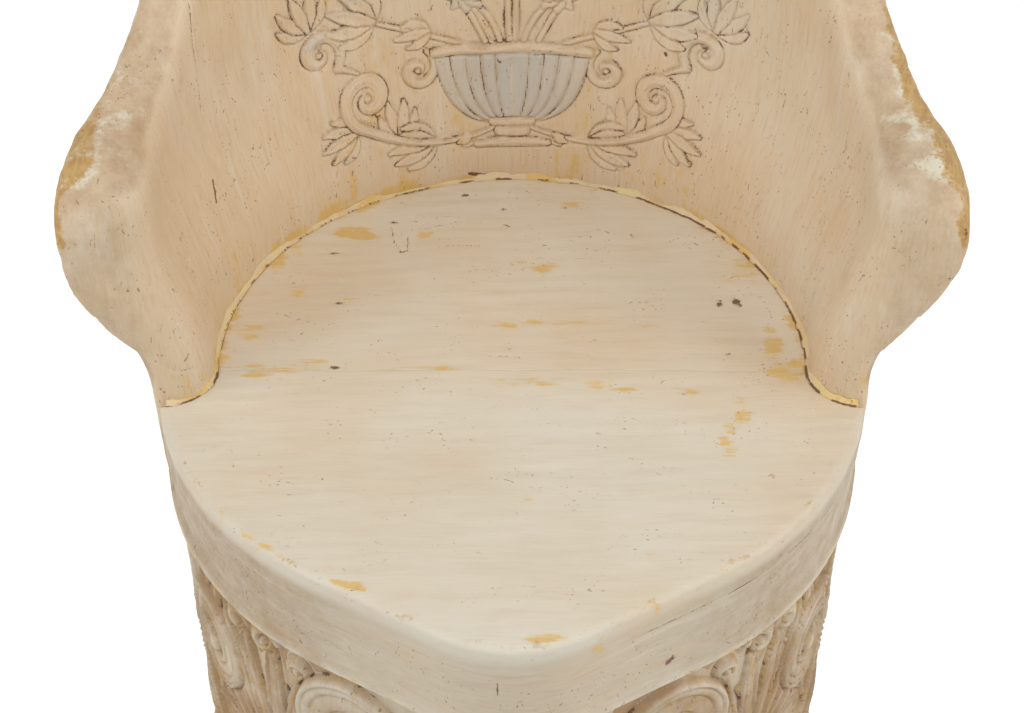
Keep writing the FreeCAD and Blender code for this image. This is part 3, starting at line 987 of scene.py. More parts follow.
    def design(self, flat):
        """A footed bowl of flowers between scrolling leaves, the same on both sides."""
        carving = Carving(np.stack([np.abs(flat[:, 0]), flat[:, 1]], axis=1))
        thin = 0.8
        carving.scroll((135, 122), 19, -1.3, 230, 4.6, 0.75, 1, ((108, 98), (116, 104)), thin)
        carving.fan((140, 142), 20, 120, 5, 20, 32, 4.8, 0.7, 0.3, thin)
        carving.fan((118, 56), -60, 40, 5, 18, 28, 4.6, 0.7, 0.3, thin)
        carving.fan((84, 46), 50, 130, 4, 18, 26, 4.6, 0.7, 0.3, thin)
        carving.fan((58, 36), -40, 30, 5, 24, 36, 5, 0.7, 0.3, thin)
        carving.scroll((104, 78), 23, 1.45, -80, 5.4, 0.85, 1, ((12, 42), (64, 22)), thin)
        carving.fan((40, 32), 190, 150, 2, 10, 12, 4, 0.7, 0.2, thin)
        for start, bend, end in (((2, 106), (4, 150), (0, 196)), ((18, 106), (36, 150), (60, 168)),
                                 ((36, 106), (66, 118), (92, 132)), ((8, 106), (14, 128), (28, 138))):
            carving.stroke(curve_points(start, bend, end), (2.2, 2.4, 2), (0.6, 0.6, 0.6), "round", 0, thin)
        carving.fan((46, 152), 110, 165, 3, 18, 26, 4.4, 0.65, 0.3, thin)
        carving.fan((56, 118), -35, 20, 3, 16, 24, 4.2, 0.65, 0.3, thin)
        carving.fan((62, 170), 5, 95, 5, 26, 38, 6.4, 0.85, 0.35, thin)
        carving.fan((94, 134), -25, 75, 5, 24, 34, 5.8, 0.85, 0.35, thin)
        carving.fan((0, 194), 30, 90, 3, 34, 44, 7.6, 0.9, 0.3, thin)
        carving.fan((30, 142), 0, 315, 8, 13, 13, 5.2, 0.9, 0, thin)
        carving.stroke([(30, 142), (30.1, 142)], (4.6, 4.6), (1, 1), "round", 0, thin)
        carving.scroll((66, 90), 15, 1.35, 120, 4.2, 0.8, 0, (), thin)
        carving.stroke([(0, 39), (9, 39)], (5, 4.6), (0.75, 0.7), "round", 0, thin)
        for step in (4, 3, 2, 1, 0):
            spot = 5.5 + 10.4 * step
            line = curve_points((0.4 * spot, 49), (0.98 * spot, 58), (spot, 98))
            carving.stroke(line, (3, 5.2, 6.2), (0.7, 1.0 - 0.07 * step, 1.0 - 0.09 * step), "round", 0, thin)
        carving.stroke([(0, 46), (14, 46)], (3.6, 3.2), (0.85, 0.8), "round", 0, thin)
        carving.stroke([(0, 101), (53, 101)], (4.4, 4.2, 3.8), (1, 1, 0.95), "round", 1, thin)
        carving.stroke([(0, 30), (26, 30)], (4, 3.8, 3.2), (0.8, 0.8, 0.75), "round", 1, thin)
        return carving

    def carve(self, piece, form):
        """Raise the design a little, cut its outline and press the marks in."""
        points = places(piece)
        facing = normals(piece)
        flat = self.back_sheet(points)
        inwards = self.towards_axis(points, facing)
        carving = self.design(flat)
        worn_off = 0.75 + 0.25 * waves(points, 0.05, 5)
        lift = form.back_rise * (carving.height * worn_off - 0.3 * carving.groove) * inwards
        outwards = points[:, :2] - np.array([0.0, AXIS_Y])
        outwards /= np.linalg.norm(outwards, axis=1)[:, None]
        points[:, :2] -= outwards * lift[:, None]
        self.dark = line_marks(points * TO_MM, LOG_MARKS)
        points -= facing * (0.0007 * self.dark)[:, None]
        set_places(piece, points)
        self.flat = flat
        self.inwards = inwards
        self.groove = carving.groove * inwards
        self.relief = carving.height * inwards

    def rim_radius(self, side, radius, height):
        """Largest radius of the wall at each angle in degrees."""
        steps = np.arange(-180.0, 181.0, 2.0)
        high = height > 0.05
        largest = np.zeros(len(steps))
        np.maximum.at(largest, np.round((side[high] + 180.0) / 2.0).astype(int), radius[high])
        return np.interp(side, steps, largest)

    def wear(self, piece):
        """Where the paint is pale, thin, worn or dirty, and where shade and light are painted onto it."""
        points = places(piece)
        facing = normals(piece)
        angle, radius, height = wall_place(points)
        side = np.degrees(angle)
        turned = np.abs(side)
        above = ease(height, 0.0, 0.04)
        run = np.abs(self.flat[:, 0])
        rise = self.flat[:, 1]

        inset = (self.rim_radius(side, radius, height) - radius) * TO_MM
        wide = from_table(side, WORN_WIDTHS) * (1.0 + 0.16 * waves(points, 0.025, 61))
        level = from_table(side, WORN_LEVELS)
        strip = fade(inset, 0.45 * wide, 1.5 * wide) * above * ease(facing[:, 2], -0.2, 0.15)
        primed = level * fade(inset, 0.7 * wide, 3.0 * wide) * above * ease(facing[:, 2], -0.1, 0.3)
        primed *= ease(turned, 62.0, 78.0) * fade(turned, 96.0, 101.0)
        set_mask(piece, "primed", np.where(side < 0.0, 0.85, 0.8) * primed)
        upward = ease(facing[:, 2], 0.25, 0.7) * above
        set_mask(piece, "nose", np.maximum(ease(turned, 93.0, 96.5) * ease(height, -0.01, 0.0), upward))
        worn = level * strip + 0.1 * ease(facing[:, 2], 0.55, 0.95) * ease(height, 0.2, 0.3)
        outward = ease(facing[:, 0] * np.sign(side), 0.6, 0.9) * ease(turned, 95.0, 99.0) * above
        worn = np.maximum(worn, 0.45 * outward * fade(height, 0.13, 0.16))
        # The band's lower edge: worn ochre along the arris, and a pale painted highlight on it
        band_edge_wear_and_highlight = bell(points[:, 2], BAND_Z, 0.0032) * ease(radius, 0.222, 0.23)
        band_edge_wear_and_highlight *= patches(points, 0.03, 62, 0.8, 0.4)
        set_mask(piece, "worn", worn + 0.12 * band_edge_wear_and_highlight)

        band = ease(-height, 0.012, 0.026)
        # Painted shade: the lobes are painted darker and greyer against the light that their upturned faces
        # catch
        lobe = ease(turned, 66.0, 92.0) * ease(radius, 0.222, 0.25)
        set_mask(piece, "brushed", band)
        # The band takes painted shade on its turned sides, along with its grey, dirtied paint
        dulled_and_shaded, soiled_and_shaded = band_tone_and_shade(points)
        set_mask(piece, "grey", dulled_and_shaded * band * (1.0 - 0.8 * band_edge_wear_and_highlight) + 0.2 * lobe * above)
        # Painted light: the right inside wall is painted paler, as if more light fell on it
        right_wall_light = 0.16 * ease(side, 35.0, 75.0) * self.inwards
        set_mask(piece, "pale", 0.06 - 0.06 * lobe + right_wall_light + 0.12 * ease(height, 0.2, 0.4)
                 + (0.35 + 0.5 * band_edge_wear_and_highlight) * band)

        low_back = bell(rise, 12.0, 30.0) * fade(turned, 66.0, 90.0)
        carved = fade(run, 105.0, 165.0) * fade(height, 0.19, 0.26)
        thin = patches(points, 0.05, 63, 0.5, 0.6, (1.0, 1.0, 2.0))
        smears = smeared(side, np.maximum(rise, 0.0), WALL_SMEARS)
        foot = ease(turned, 78.0, 94.0) * bell(rise, 8.0, 30.0) * (radius < 0.25)
        leftward = 1.0 + 0.5 * ease(-side, 20.0, 50.0)
        ochre = 0.24 * leftward * low_back * thin + 0.3 * carved * thin * (1.0 - 0.5 * self.relief)
        ochre = np.maximum(ochre + 0.36 * foot + 0.2 * self.groove, smears)
        set_mask(piece, "ochre", ochre * self.inwards + 0.3 * foot * ~self.inwards + 0.72 * band_edge_wear_and_highlight)

        broken = patches(points, 0.02, 64, 0.62, 0.5)
        set_mask(piece, "dark", np.maximum(self.dark, 0.64 * self.groove * broken))
        # Dirt, together with painted shade, along the crease where the wall meets the seat; dark dirt in the
        # carving's cuts
        dirt = (0.22 * bell(rise, 0.0, 6.0) + 0.6 * self.groove) * self.inwards
        # Painted shadow on the undersides of the lobes, where they roll under
        under = ease(turned, 88.0, 97.0) * fade(height, 0.05, 0.115) * ease(height, 0.0, 0.02)
        under *= ease(facing[:, 0] * np.sign(side), -0.1, 0.6)
        # Handling dirt on the rims' upturned faces, which also darkens them as painted shade; painted shade
        # on the lobes and painted shadow under them
        handling_dirt_and_shade = np.maximum(np.maximum(0.38 * lobe * above, 0.5 * upward), 0.56 * under)
        set_mask(piece, "dirt", np.maximum(dirt, handling_dirt_and_shade) + soiled_and_shaded * band * (1.0 - 0.8 * band_edge_wear_and_highlight))
        bowl = self.relief * (np.abs(rise - 74.0) < 24.0) * (run < 54.0)
        petals = self.relief * (rise > 128.0)
        set_mask(piece, "blue", 0.8 * bowl + 0.55 * petals * patches(points, 0.06, 65, 0.0, 1.0))


# Carved base

class CHAIR_OT_base(bpy.types.Operator):
    """The foot, the heart and the ground behind the carving"""
    bl_idname = "chair.base"
    bl_label = "Base log"

    def execute(self, context):
        form = context.scene.chair_form
        piece = cad_copy("trunk", "base_log")
        cut_level(piece, BAND_Z + 2.0 * OVERLAP, False)
        apply_modifier(piece, "REMESH", mode="VOXEL", voxel_size=form.base_grain)
        apply_modifier(piece, "SMOOTH", factor=0.5, iterations=3)
        points = hewn(piece, form.hewn, 11)
        points[:, 2] = np.where(points[:, 2] < 0.002, 0.0, points[:, 2])
        set_places(piece, points)
        _, radius, _ = wall_place(points)
        edge = bell(points[:, 2], PLINTH_Z, 0.006) + bell(points[:, 2], 0.0, 0.008)
        set_mask(piece, "worn", 0.5 * edge * ease(radius, 0.225, 0.232))
        set_mask(piece, "pale", np.full(len(points), 0.3))
        set_mask(piece, "grey", np.full(len(points), 0.5))
        set_mask(piece, "dirt", 0.7 * bell(points[:, 2], 0.004, 0.02))
        finish_piece(piece, "painted_wood", painted_wood("painted_foot", True, 0.46), "trunk")
        piece.data.materials.append(bare_timber("heart_wood"))
        middles = face_middles(piece)
        inside = np.hypot(middles[:, 0], middles[:, 1] - AXIS_Y) < HEART_RADIUS + 0.012
        piece.data.polygons.foreach_set("material_index", inside.astype(np.int32))
        return {"FINISHED"}


# The leaf carving of one bay, back layers first: root or centre in mm, then the numbers of each fan or scroll
GROUND_LEAVES = [
    ((50, 298), -172, -8, 9, 70, 116, 13, 0.5, 0.5), ((168, 298), -172, -8, 9, 60, 92, 13, 0.5, 0.5),
    ((28, 146), -178, -40, 8, 84, 132, 12, 0.52, 0.4), ((306, 160), -140, -20, 8, 100, 150, 12, 0.52, 0.35),
    ((120, 186), 60, 170, 6, 46, 74, 11, 0.58, 0.4), ((236, 186), 20, 110, 6, 46, 80, 11, 0.58, 0.4),
    ((140, 150), -60, 30, 5, 50, 80, 10, 0.6, 0.4),
]
MIDDLE_LEAVES = [((186, 142), -132, -40, 8, 84, 126, 9, 0.7, 0.3)]
FRONT_LEAVES = [((96, 166), 100, 200, 5, 34, 60, 9, 0.8, 0.4), ((150, 194), 40, 120, 4, 34, 54, 9, 0.78, 0.4)]
SMALL_SCROLLS = [((184, 24), 13, 1.0, 200, 8, 0.8), ((213, 28), 12, 1.0, 200, 7, 0.75),
                 ((156, 33), 10, 0.9, 160, 6, 0.72)]
GREAT_SCROLLS = [
    ((256, 92), 44, -1.45, 30, 15, 0.88, 2, ((196, 188), (280, 214))),
    ((205, 218), 33, 1.35, 268, 11, 0.8, 1, ((120, 160), (150, 184))),
    ((116, 70), 42, 1.35, 150, 21, 0.98, 2, ((200, 184), (104, 200))),
]
BAYS = (0.0, 237.0, 474.0)
FRIEZE_RUN = 711.0


class CHAIR_OT_frieze(bpy.types.Operator):
    """The carved band of scrolling leaves round the base, in three stretches"""
    bl_idname = "chair.frieze"
    bl_label = "Carved frieze"

    def execute(self, context):
        form = context.scene.chair_form
        girth = half_girth(GROUND_RADIUS)
        third = 2.0 * girth / 3.0
        material = painted_wood("painted_carving", True, 0.42)
        for name, start in (("frieze_front", -0.5), ("frieze_right", 0.5), ("frieze_left", -1.5)):
            self.stretch(name, start * third, (start + 1.0) * third, girth, form, material)
        return {"FINISHED"}

    def stretch(self, name, start, end, girth, form, material):
        """One stretch of the frieze as a closed slab with a carved face."""
        top = BAND_Z + OVERLAP
        bottom = PLINTH_Z - OVERLAP
        columns = int((end - start) / form.frieze_grain)
        rows = int((top - bottom) / form.frieze_grain)
        runs, levels = np.meshgrid(np.linspace(start, end, columns), np.linspace(top, bottom, rows))
        levels = levels.ravel()
        around = (runs.ravel() + girth) % (2.0 * girth) - girth
        flat = np.stack([np.abs(around) * TO_MM, (top - levels) * TO_MM], axis=1)
        carving = self.design(flat)
        rise = form.frieze_rise * self.profile(carving, flat)
        x, y, out_x, out_y = along_log(around, GROUND_RADIUS)
        face = np.stack([x + out_x * rise, y + out_y * rise, levels], axis=1)
        ring = np.stack([x - out_x * SLAB_DEPTH, y - out_y * SLAB_DEPTH], axis=1)[:columns]
        high = np.column_stack([ring, np.full(columns, top)])
        low = np.column_stack([ring, np.full(columns, bottom)])
        count = rows * columns
        corners = (np.arange(rows - 1)[:, None] * columns + np.arange(columns - 1)).ravel()
        faces = np.stack([corners, corners + columns, corners + columns + 1, corners + 1], axis=1).tolist()
        across = np.arange(columns)
        rims = [across + first for first in (0, count, count + columns, count - columns)]
        for one, other in zip(rims, rims[1:]):
            faces += np.stack([one[:-1], one[1:], other[1:], other[:-1]], axis=1).tolist()
        edge = [row * columns for row in range(rows)]
        faces.append(edge[::-1] + [count, count + columns])
        edge = [spot + columns - 1 for spot in edge]
        faces.append(edge + [count + 2 * columns - 1, count + columns - 1])
        piece = new_piece(name, np.concatenate([face, high, low]).tolist(), faces)
        face_outwards(piece)
        self.wear(piece, carving, flat, face)
        finish_piece(piece, "painted_wood", material, "trunk")

    def wear(self, piece, carving, flat, face):
        """Cream with a painted highlight on the high places; ochre, old dirt and painted shade in the cuts;
        painted shadow in the cove under the band.
        """
        extra = np.zeros(len(piece.data.vertices) - len(flat))
        # The low ground between the leaves is darker and browner, old dirt with painted shade; the leaves'
        # tops are paler and cleaner, a painted highlight
        recess = fade(carving.height, 0.15, 0.6)
        crown_highlight = ease(carving.height, 0.6, 0.88)
        # Painted shadow in the cove under the band's overhang: greyer and darker there
        cove = fade(flat[:, 1], *COVE)
        uneven = patches(face, 0.03, 22, 0.6, 0.5)
        browned = patches(face, 0.08, 23, 0.45, 0.5)
        pits = patches(face, 0.012, 24, -0.9, 1.7)
        dirt = 0.37 + 0.25 * browned + (0.18 + 0.28 * browned) * recess + 0.2 * cove - 0.2 * crown_highlight
        masks = {"pale": 0.05 + 0.45 * carving.height + 0.2 * crown_highlight,
                 "grey": 0.42 - 0.2 * recess + 0.4 * cove,
                 "dirt": dirt,
                 "ochre": 0.2 + 0.2 * browned + 0.18 * recess + 0.6 * carving.groove * uneven,
                 "dark": carving.groove * (0.42 * uneven + 0.75 * pits) * (0.4 + 0.6 * recess),
                 "worn": 0.2 * ease(carving.height, 0.7, 0.95) * uneven}
        for mask, values in masks.items():
            set_mask(piece, mask, np.concatenate([values, extra]))

    def profile(self, carving, flat):
        """Relief with cut outlines between a cove under the band and the foot."""
        uneven = waves(np.column_stack([flat, np.zeros(len(flat))]), 26.0, 21)
        relief = carving.height - 0.26 * carving.groove + 0.02 * uneven
        depth = (BAND_Z - PLINTH_Z) * TO_MM
        margin = ease(depth - flat[:, 1], 0.0, 6.0) * ease(flat[:, 1], *COVE)
        return np.clip(relief, -0.1, 1.0) * (0.2 + 0.8 * margin)

    def design(self, flat):
        """Scrolling leaves that mirror about the prow: run from the tip and depth below the band, in mm."""
        carving = Carving(flat)
        self.fans(carving, GROUND_LEAVES)
        for middle in (0.0, FRIEZE_RUN):
            carving.fan((middle, 262), -178, -2, 15, 70, 238, 14, 0.82, 0.35)
            carving.stroke([(middle, 296), (middle, 240)], (20, 15, 10), (0.85, 0.9, 0.9), "round", 1)
        self.fans(carving, MIDDLE_LEAVES)
        for shift in BAYS:
            for (run, depth), *numbers in SMALL_SCROLLS:
                carving.scroll((run + shift, depth), *numbers)
        for shift in BAYS:
            for (run, depth), outer, turns, turn, width, rise, lines, stem in GREAT_SCROLLS:
                stem = [(spot[0] + shift, spot[1]) for spot in stem]
                carving.scroll((run + shift, depth), outer, turns, turn, width, rise, lines, stem,
                               form="flute")
        self.fans(carving, FRONT_LEAVES)
        return carving

    def fans(self, carving, leaves):
        """One layer of leaves in every bay."""
        for shift in BAYS:
            for (run, depth), *numbers in leaves:
                carving.fan((run + shift, depth), *numbers)


# Seat

# Worn ochre patches on the seat: across, ahead, half length, half width in mm, strength
OCHRE_PATCHES = [
    (-4, 25, 9, 3.5, 0.75), (30, 28, 24, 2.4, 0.6), (5, -33, 14, 4, 0.8),
    (22, -35, 9, 2.5, 0.65), (58, -36, 13, 3, 0.75), (74, -40, 10, 2.5, 0.6),
    (116, -42, 13, 3, 0.72), (96, -40, 6, 2, 0.6), (-68, -19, 17, 3.4, 0.7),
    (-46, -20, 8, 3, 0.65), (-175, -23, 16, 6, 0.72), (-150, -20, 18, 4, 0.6),
    (-178, 16, 9, 6, 0.7), (182, -21, 14, 8, 0.7), (-109, 127, 17, 5.5, 0.85),
    (-62, 124, 7, 4, 0.6), (140, -86, 7, 12, 0.55), (-120, 55, 16, 4, 0.5),
    (150, -62, 6, 12, 0.5), (-30, 62, 14, 3, 0.45), (176, 8, 8, 14, 0.55),
    (22, 90, 10, 6, 0.5), (-5, 96, 12, 3, 0.45), (-150, 70, 10, 12, 0.45),
    (-135, -12, 12, 2.5, 0.5), (96, 24, 12, 2.5, 0.4), (44, 158, 10, 4, 0.5),
    (-93, -215, 5, 1.8, 0.6), (19, -258, 13, 2.6, 0.7), (51, -252, 7, 2.6, 0.6),
    (82, -228, 6, 3, 0.45),
]

# Worn ochre streaks along the seat's edge: half width in mm, strength, then places across and ahead in mm
OCHRE_STREAKS = [
    (2.2, 0.7, (-168, -170), (-157, -179.6), (-145.7, -187.2)),
    (2.8, 0.6, (-121.3, -204.7), (-105, -213.8), (-90.2, -219.5)),
]

# Ochre smears on the seat along the joint: angle and half span in degrees, reach in mm, strength
SEAT_SMEARS = [(-83, 12, 7, 1.0), (-57, 5, 14, 0.85), (-33, 7, 7, 0.7), (-6, 8, 6, 0.65), (9, 6, 8, 0.6),
               (18, 3, 12, 0.75), (48, 6, 8, 0.65), (60, 4, 26, 0.8), (81, 8, 9, 0.9), (92, 3, 28, 0.95)]

# Dark dents and spots on the seat: across, ahead, half length, half width in mm, strength
DARK_MARKS = [
    (143, 48, 2.6, 4.5, 0.85), (155, 50, 4.6, 5, 0.95), (-33, 171, 6, 1.8, 0.9),
    (-6, 153, 4, 1.8, 0.8), (-125, 104, 6.5, 1.6, 0.85), (-119, 48, 7, 1.9, 0.75),
    (-118, -18, 4.5, 2.6, 0.8), (-85, 139, 4.5, 2.4, 0.8), (38, 156, 3, 1.4, 0.7),
    (-92, -60, 3, 1.2, 0.6), (60, -95, 3, 1.1, 0.6), (110, 88, 3, 1.1, 0.6),
]

# Scratches of the seat: half width in mm, strength, then places across and ahead in mm
SEAT_LINES = [
    (1.2, 0.57, (-87, 134.2), (-84.2, 118), (-78.7, 104.4), (-73.8, 106.6), (-74.4, 122.6)),
    (1.2, 0.5, (-52, 110), (-40, 112), (-22, 111)),
    (1.2, 0.45, (-20, -6), (6, -8)),
]


class CHAIR_OT_seat(bpy.types.Operator):
    """The two planks of the seat with their worn paint, and the plugs over its nails"""
    bl_idname = "chair.seat"
    bl_label = "Seat planks"

    def execute(self, context):
        form = context.scene.chair_form
        material = painted_wood("painted_seat", False, 0.5, 0.5)
        for name, node in (("front_plank", "seat_front_plank"), ("rear_plank", "seat_rear_plank")):
            front = name == "front_plank"
            piece = self.blank(name, front)
            apply_modifier(piece, "REMESH", mode="VOXEL", voxel_size=form.plank_grain)
            apply_modifier(piece, "SMOOTH", factor=0.5, iterations=4)
            self.even_out(piece, front)
            self.wear(piece)
            finish_piece(piece, "painted_plank", material, node)
        self.plugs(material)
        return {"FINISHED"}

    def outline(self, front):
        """The plank's plan with a lap over the seam, anticlockwise from above."""
        seam = SEAM_Y - AXIS_Y + (SEAM_LAP if front else -SEAM_LAP)
        corner = np.array([math.sqrt((HOLLOW_RADIUS - JOINT_GAP) ** 2 - seam ** 2), seam])
        right = hollow_line(JOINT_GAP, 60, 16)
        if front:
            right = [spot for spot in right if spot[1] < seam - OVERLAP]
            runs = np.linspace(0.0, half_girth(LOG_RADIUS), 400)
            x, y, _, _ = along_log(runs, LOG_RADIUS)
            rim = [np.array([across, ahead - AXIS_Y]) for across, ahead in zip(x, y)]
            rim = [spot for spot in rim if spot[1] < right[-1][1] - 0.0005]
            half = [corner] + right + rim[::-1]
        else:
            half = [spot for spot in right if spot[1] > seam + OVERLAP] + [corner]
        mirrored = [np.array([-spot[0], spot[1]]) for spot in half[::-1] if abs(spot[0]) > 1e-6]
        return [(spot[0], spot[1] + AXIS_Y) for spot in half + mirrored]

    def blank(self, name, front):
        """Plan and thickness."""
        plan = self.outline(front)
        bottom = LEDGE_Z - SEAM_LAP
        piece = new_piece(name, [(x, y, bottom) for x, y in plan], [list(range(len(plan)))])
        move = {"value": (0.0, 0.0, SEAT_Z - bottom)}
        in_edit_mode(piece, (bpy.ops.mesh.extrude_region_move, {"TRANSFORM_OT_translate": move}))
        face_outwards(piece)
        return piece

    def even_out(self, piece, front):
        """Square the hidden edges, roll the front edge over and let the boards cup a little."""
        points = places(piece)
        points[:, 2] = np.maximum(points[:, 2], LEDGE_Z)
        if front:
            points[:, 1] = np.minimum(points[:, 1], SEAM_Y - SEAM_GAP)
        else:
            points[:, 1] = np.maximum(points[:, 1], SEAM_Y + SEAM_GAP)
        edge = LOG_RADIUS - log_radius(points)
        depth = np.clip(SEAT_ROLL - edge, 0.0, SEAT_ROLL)
        drop = 0.8 * (SEAT_ROLL - np.sqrt(np.maximum(SEAT_ROLL ** 2 - depth ** 2, 0.0)))
        top = ease(points[:, 2], SEAT_Z - 0.014, SEAT_Z)
        ahead = ease(AXIS_Y - points[:, 1], 0.046, 0.07)
        points[:, 2] -= drop * top * ahead
        points[:, 2] += seat_lift(points) * ease(points[:, 2], SEAT_Z - 0.011, SEAT_Z - 0.001)
        points[:, 2] -= 0.0005 * self.marks(points) * ease(points[:, 2], SEAT_Z - 0.004, SEAT_Z - 0.001)
        set_places(piece, points)

    def reach(self, flat, across, ahead, long, wide):
        """How far points are from the middle of an oval spot: 0 there, 1 on its edge."""
        return ((flat[:, 0] - across) / long) ** 2 + ((flat[:, 1] - ahead) / wide) ** 2

    def marks(self, points):
        """Dents, spots and scratches."""
        flat = points[:, :2] * TO_MM
        dark = np.zeros(len(points))
        ragged = np.clip(1.0 + 0.4 * waves(points, 0.007, 47), 0.5, 2.0)
        for across, ahead, long, wide, level in DARK_MARKS:
            reach = self.reach(flat, across, ahead, long, wide)
            dark = np.maximum(dark, 0.8 * level * np.exp(-reach * ragged))
        return np.maximum(dark, line_marks(flat, SEAT_LINES))

    def wear(self, piece):
        """Pale front, pinker rear, ochre rows and small marks."""
        points = places(piece)
        flat = points[:, :2] * TO_MM
        forward = ease(-points[:, 1], -0.04, 0.14)
        side = ease(SEAT_Z - points[:, 2], 0.006, 0.016)
        right = ease(points[:, 0], 0.08, 0.2)
        pale = 0.56 + (0.32 - 0.38 * right) * forward + 0.08 * waves(points, 0.11, 41, (3.0, 1.0, 1.0))
        set_mask(piece, "pale", pale * (1.0 - side) + 0.41 * side)
        ochre = np.zeros(len(points))
        for across, ahead, long, wide, level in OCHRE_PATCHES:
            reach = self.reach(flat, across, ahead, 1.15 * long, 1.45 * wide)
            ochre = np.maximum(ochre, 1.15 * level * np.exp(-reach ** 1.5))
        ochre = np.maximum(ochre, line_marks(flat, OCHRE_STREAKS))
        angle, radius, _ = wall_place(points)
        away = np.maximum(HOLLOW_RADIUS - 0.002 - radius, 0.0) * TO_MM
        ochre = np.maximum(ochre, smeared(np.degrees(angle), away, SEAT_SMEARS))
        edge = LOG_RADIUS - log_radius(points)
        nose = bell(edge, 0.004, 0.004) * ease(-points[:, 1], 0.08, 0.12)
        ochre = np.maximum(ochre, 0.5 * nose * patches(points, 0.025, 44, -0.6, 1.0))
        ragged = np.clip(1.0 + 0.35 * waves(points, 0.012, 48, (3.0, 1.0, 1.0)), 0.4, 1.6)
        set_mask(piece, "ochre", ochre * ragged)
        set_mask(piece, "worn", 0.4 * nose * patches(points, 0.045, 45, 0.5, 0.6))
        # The planks' front faces take the band's painted shade on their turned sides
        dulled_and_shaded, soiled_and_shaded = band_tone_and_shade(points)
        set_mask(piece, "grey", dulled_and_shaded * side + 0.19 * forward * (1.0 - side))
        set_mask(piece, "brushed", side)
        set_mask(piece, "dirt", soiled_and_shaded * side)
        seam = (points[:, 2] < LEDGE_Z + 0.0006) * ease(points[:, 0], 0.06, 0.1)
        seam = seam * (0.45 + 0.12 * waves(points, 0.02, 46))
        set_mask(piece, "dark", np.maximum(self.marks(points), seam))

    def plugs(self, material):
        """Putty plugs under the seat's last coat of paint."""
        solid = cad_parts["nail_putty"]
        spots = places(solid)[:, :2]
        centres = []
        for spot in spots:
            if all(np.hypot(*(spot - centre)) > PLUG_SPACING for centre in centres):
                near = np.hypot(spots[:, 0] - spot[0], spots[:, 1] - spot[1]) < PLUG_SPACING
                centres.append(0.5 * (spots[near].min(axis=0) + spots[near].max(axis=0)))
        bpy.ops.object.select_all(action="DESELECT")
        made = []
        for centre in centres:
            bpy.ops.mesh.primitive_cylinder_add(vertices=24, radius=PLUG_RADIUS, depth=PLUG_DEPTH,
                                                location=(centre[0], centre[1], SEAT_Z - 0.5 * PLUG_DEPTH))
            made.append(bpy.context.active_object)
        for plug in made:
            plug.select_set(True)
        bpy.ops.object.join()
        bpy.ops.object.transform_apply(location=True, rotation=True, scale=True)
        piece = bpy.context.active_object
        piece.name = "nail_plugs"
        points = places(piece)
        points[:, 2] += seat_lift(points) - OVERLAP
        set_places(piece, points)
        self.wear(piece)
        finish_piece(piece, "putty", material, "nail_putty")


# Joint strip

# Section of the filler: across towards the wall and up from the seat, in metres
JOINT_SECTION = [
    (-0.0014, -0.021), (-0.0018, -0.0016), (-0.0018, -0.0004), (-0.0014, 0.0001), (-0.0009, 0.0001),
    (-0.0006, 0.0004), (0.0004, 0.0008), (0.0011, 0.0014), (0.0016, 0.0021), (0.0024, 0.0023),
    (0.0022, -0.021),
]


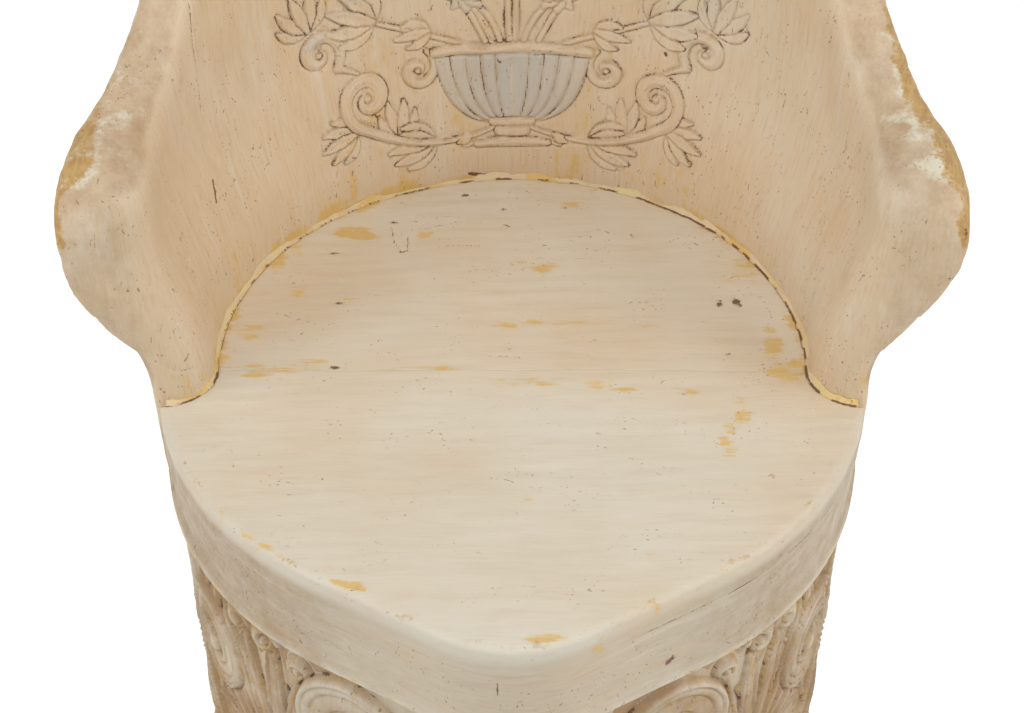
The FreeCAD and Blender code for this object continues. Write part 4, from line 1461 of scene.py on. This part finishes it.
class CHAIR_OT_joint_strip(bpy.types.Operator):
    """The filler where the seat meets the back"""
    bl_idname = "chair.joint_strip"
    bl_label = "Joint strip"

    def execute(self, context):
        path = hollow_line(0.5 * JOINT_GAP, 300, 40)
        path = np.array([(-spot[0], spot[1]) for spot in path[:0:-1]] + path)
        ahead = np.gradient(path, axis=0)
        ahead /= np.linalg.norm(ahead, axis=1)[:, None]
        side = np.stack([-ahead[:, 1], ahead[:, 0]], axis=1)
        rings = np.column_stack([path, np.zeros(len(path))])
        swell = np.maximum(1.0 + 0.5 * waves(rings, 0.03, 51) + 0.2 * waves(rings, 0.008, 52), 0.3)
        points = []
        for spot, out, grow in zip(path, side, swell):
            for across, up in JOINT_SECTION:
                raised = up * grow if up > 0.0003 else up
                points.append((*(spot + out * across + np.array([0.0, AXIS_Y])), SEAT_Z + raised))
        size = len(JOINT_SECTION)
        last = (len(path) - 1) * size
        faces = [list(range(size))[::-1], list(range(last, last + size))]
        for first in range(0, last, size):
            for index in range(size):
                here = first + index
                following = first + (index + 1) % size
                faces.append((here, following, following + size, here + size))
        piece = new_piece("joint_bead", points, faces)
        face_outwards(piece)
        points = places(piece)
        angle, _, height = wall_place(points)
        points[:, 2] += seat_lift(points) * (height > -0.001)
        set_places(piece, points)
        turned = np.degrees(angle)
        seat_side = np.tile([across < -0.0008 for across, _ in JOINT_SECTION], len(path))
        crack = 0.4 + 0.4 * ease(turned, 5.0, 40.0) + 0.3 * bell(turned, -8.0, 12.0)
        crack += 0.3 * ease(np.abs(turned), 86.0, 98.0)
        crack *= patches(points, 0.014, 54, 0.7, 0.5)
        ochre = 0.28 + 0.3 * waves(points, 0.05, 53) + 0.15 * ease(np.abs(turned), 60.0, 90.0)
        set_mask(piece, "ochre", ochre)
        set_mask(piece, "dark", np.where(seat_side, 1.3 * crack, 0.3 * crack))
        finish_piece(piece, "joint_filler", joint_paint("painted_filler"), "joint_strip")
        return {"FINISHED"}


# Fixings

class CHAIR_OT_fixings(bpy.types.Operator):
    """Nails and battens: the solids themselves, with their finishes"""
    bl_idname = "chair.fixings"
    bl_label = "Fixings"

    def execute(self, context):
        iron = forged_iron("forged_nails")
        wood = bare_timber("batten_wood")
        finishes = {"seat_nails": iron, "batten_nails": iron,
                    "seat_batten_left": wood, "seat_batten_right": wood}
        for node, material in finishes.items():
            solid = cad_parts[node]
            solid.data.materials.clear()
            solid.data.materials.append(material)
        return {"FINISHED"}


class CHAIR_PT_panel(bpy.types.Panel):
    """The chair's pieces and finishes"""
    bl_idname = "CHAIR_PT_panel"
    bl_label = "Dugout chair"
    bl_space_type = "VIEW_3D"
    bl_region_type = "UI"
    bl_category = "Chair"

    def draw(self, context):
        for group in (context.scene.chair_form, context.scene.chair_paint):
            for name in group.bl_rna.properties.keys():
                if name not in ("rna_type", "name"):
                    self.layout.prop(group, name)
        for operator in OPERATORS:
            self.layout.operator(operator.bl_idname)


OPERATORS = (CHAIR_OT_stage, CHAIR_OT_back_and_arms, CHAIR_OT_base, CHAIR_OT_frieze, CHAIR_OT_seat,
             CHAIR_OT_joint_strip, CHAIR_OT_fixings)
CLASSES = (ChairPaint, ChairForm, *OPERATORS, CHAIR_PT_panel)


def register():
    for cls in CLASSES:
        bpy.utils.register_class(cls)
    bpy.types.Scene.chair_paint = bpy.props.PointerProperty(type=ChairPaint)
    bpy.types.Scene.chair_form = bpy.props.PointerProperty(type=ChairForm)


def unregister():
    del bpy.types.Scene.chair_form
    del bpy.types.Scene.chair_paint
    for cls in reversed(CLASSES):
        bpy.utils.unregister_class(cls)


def main():
    register()
    bpy.ops.chair.stage()
    bpy.ops.chair.back_and_arms()
    bpy.ops.chair.base()
    bpy.ops.chair.frieze()
    bpy.ops.chair.seat()
    bpy.ops.chair.joint_strip()
    bpy.ops.chair.fixings()


if __name__ == "__main__":
    main()
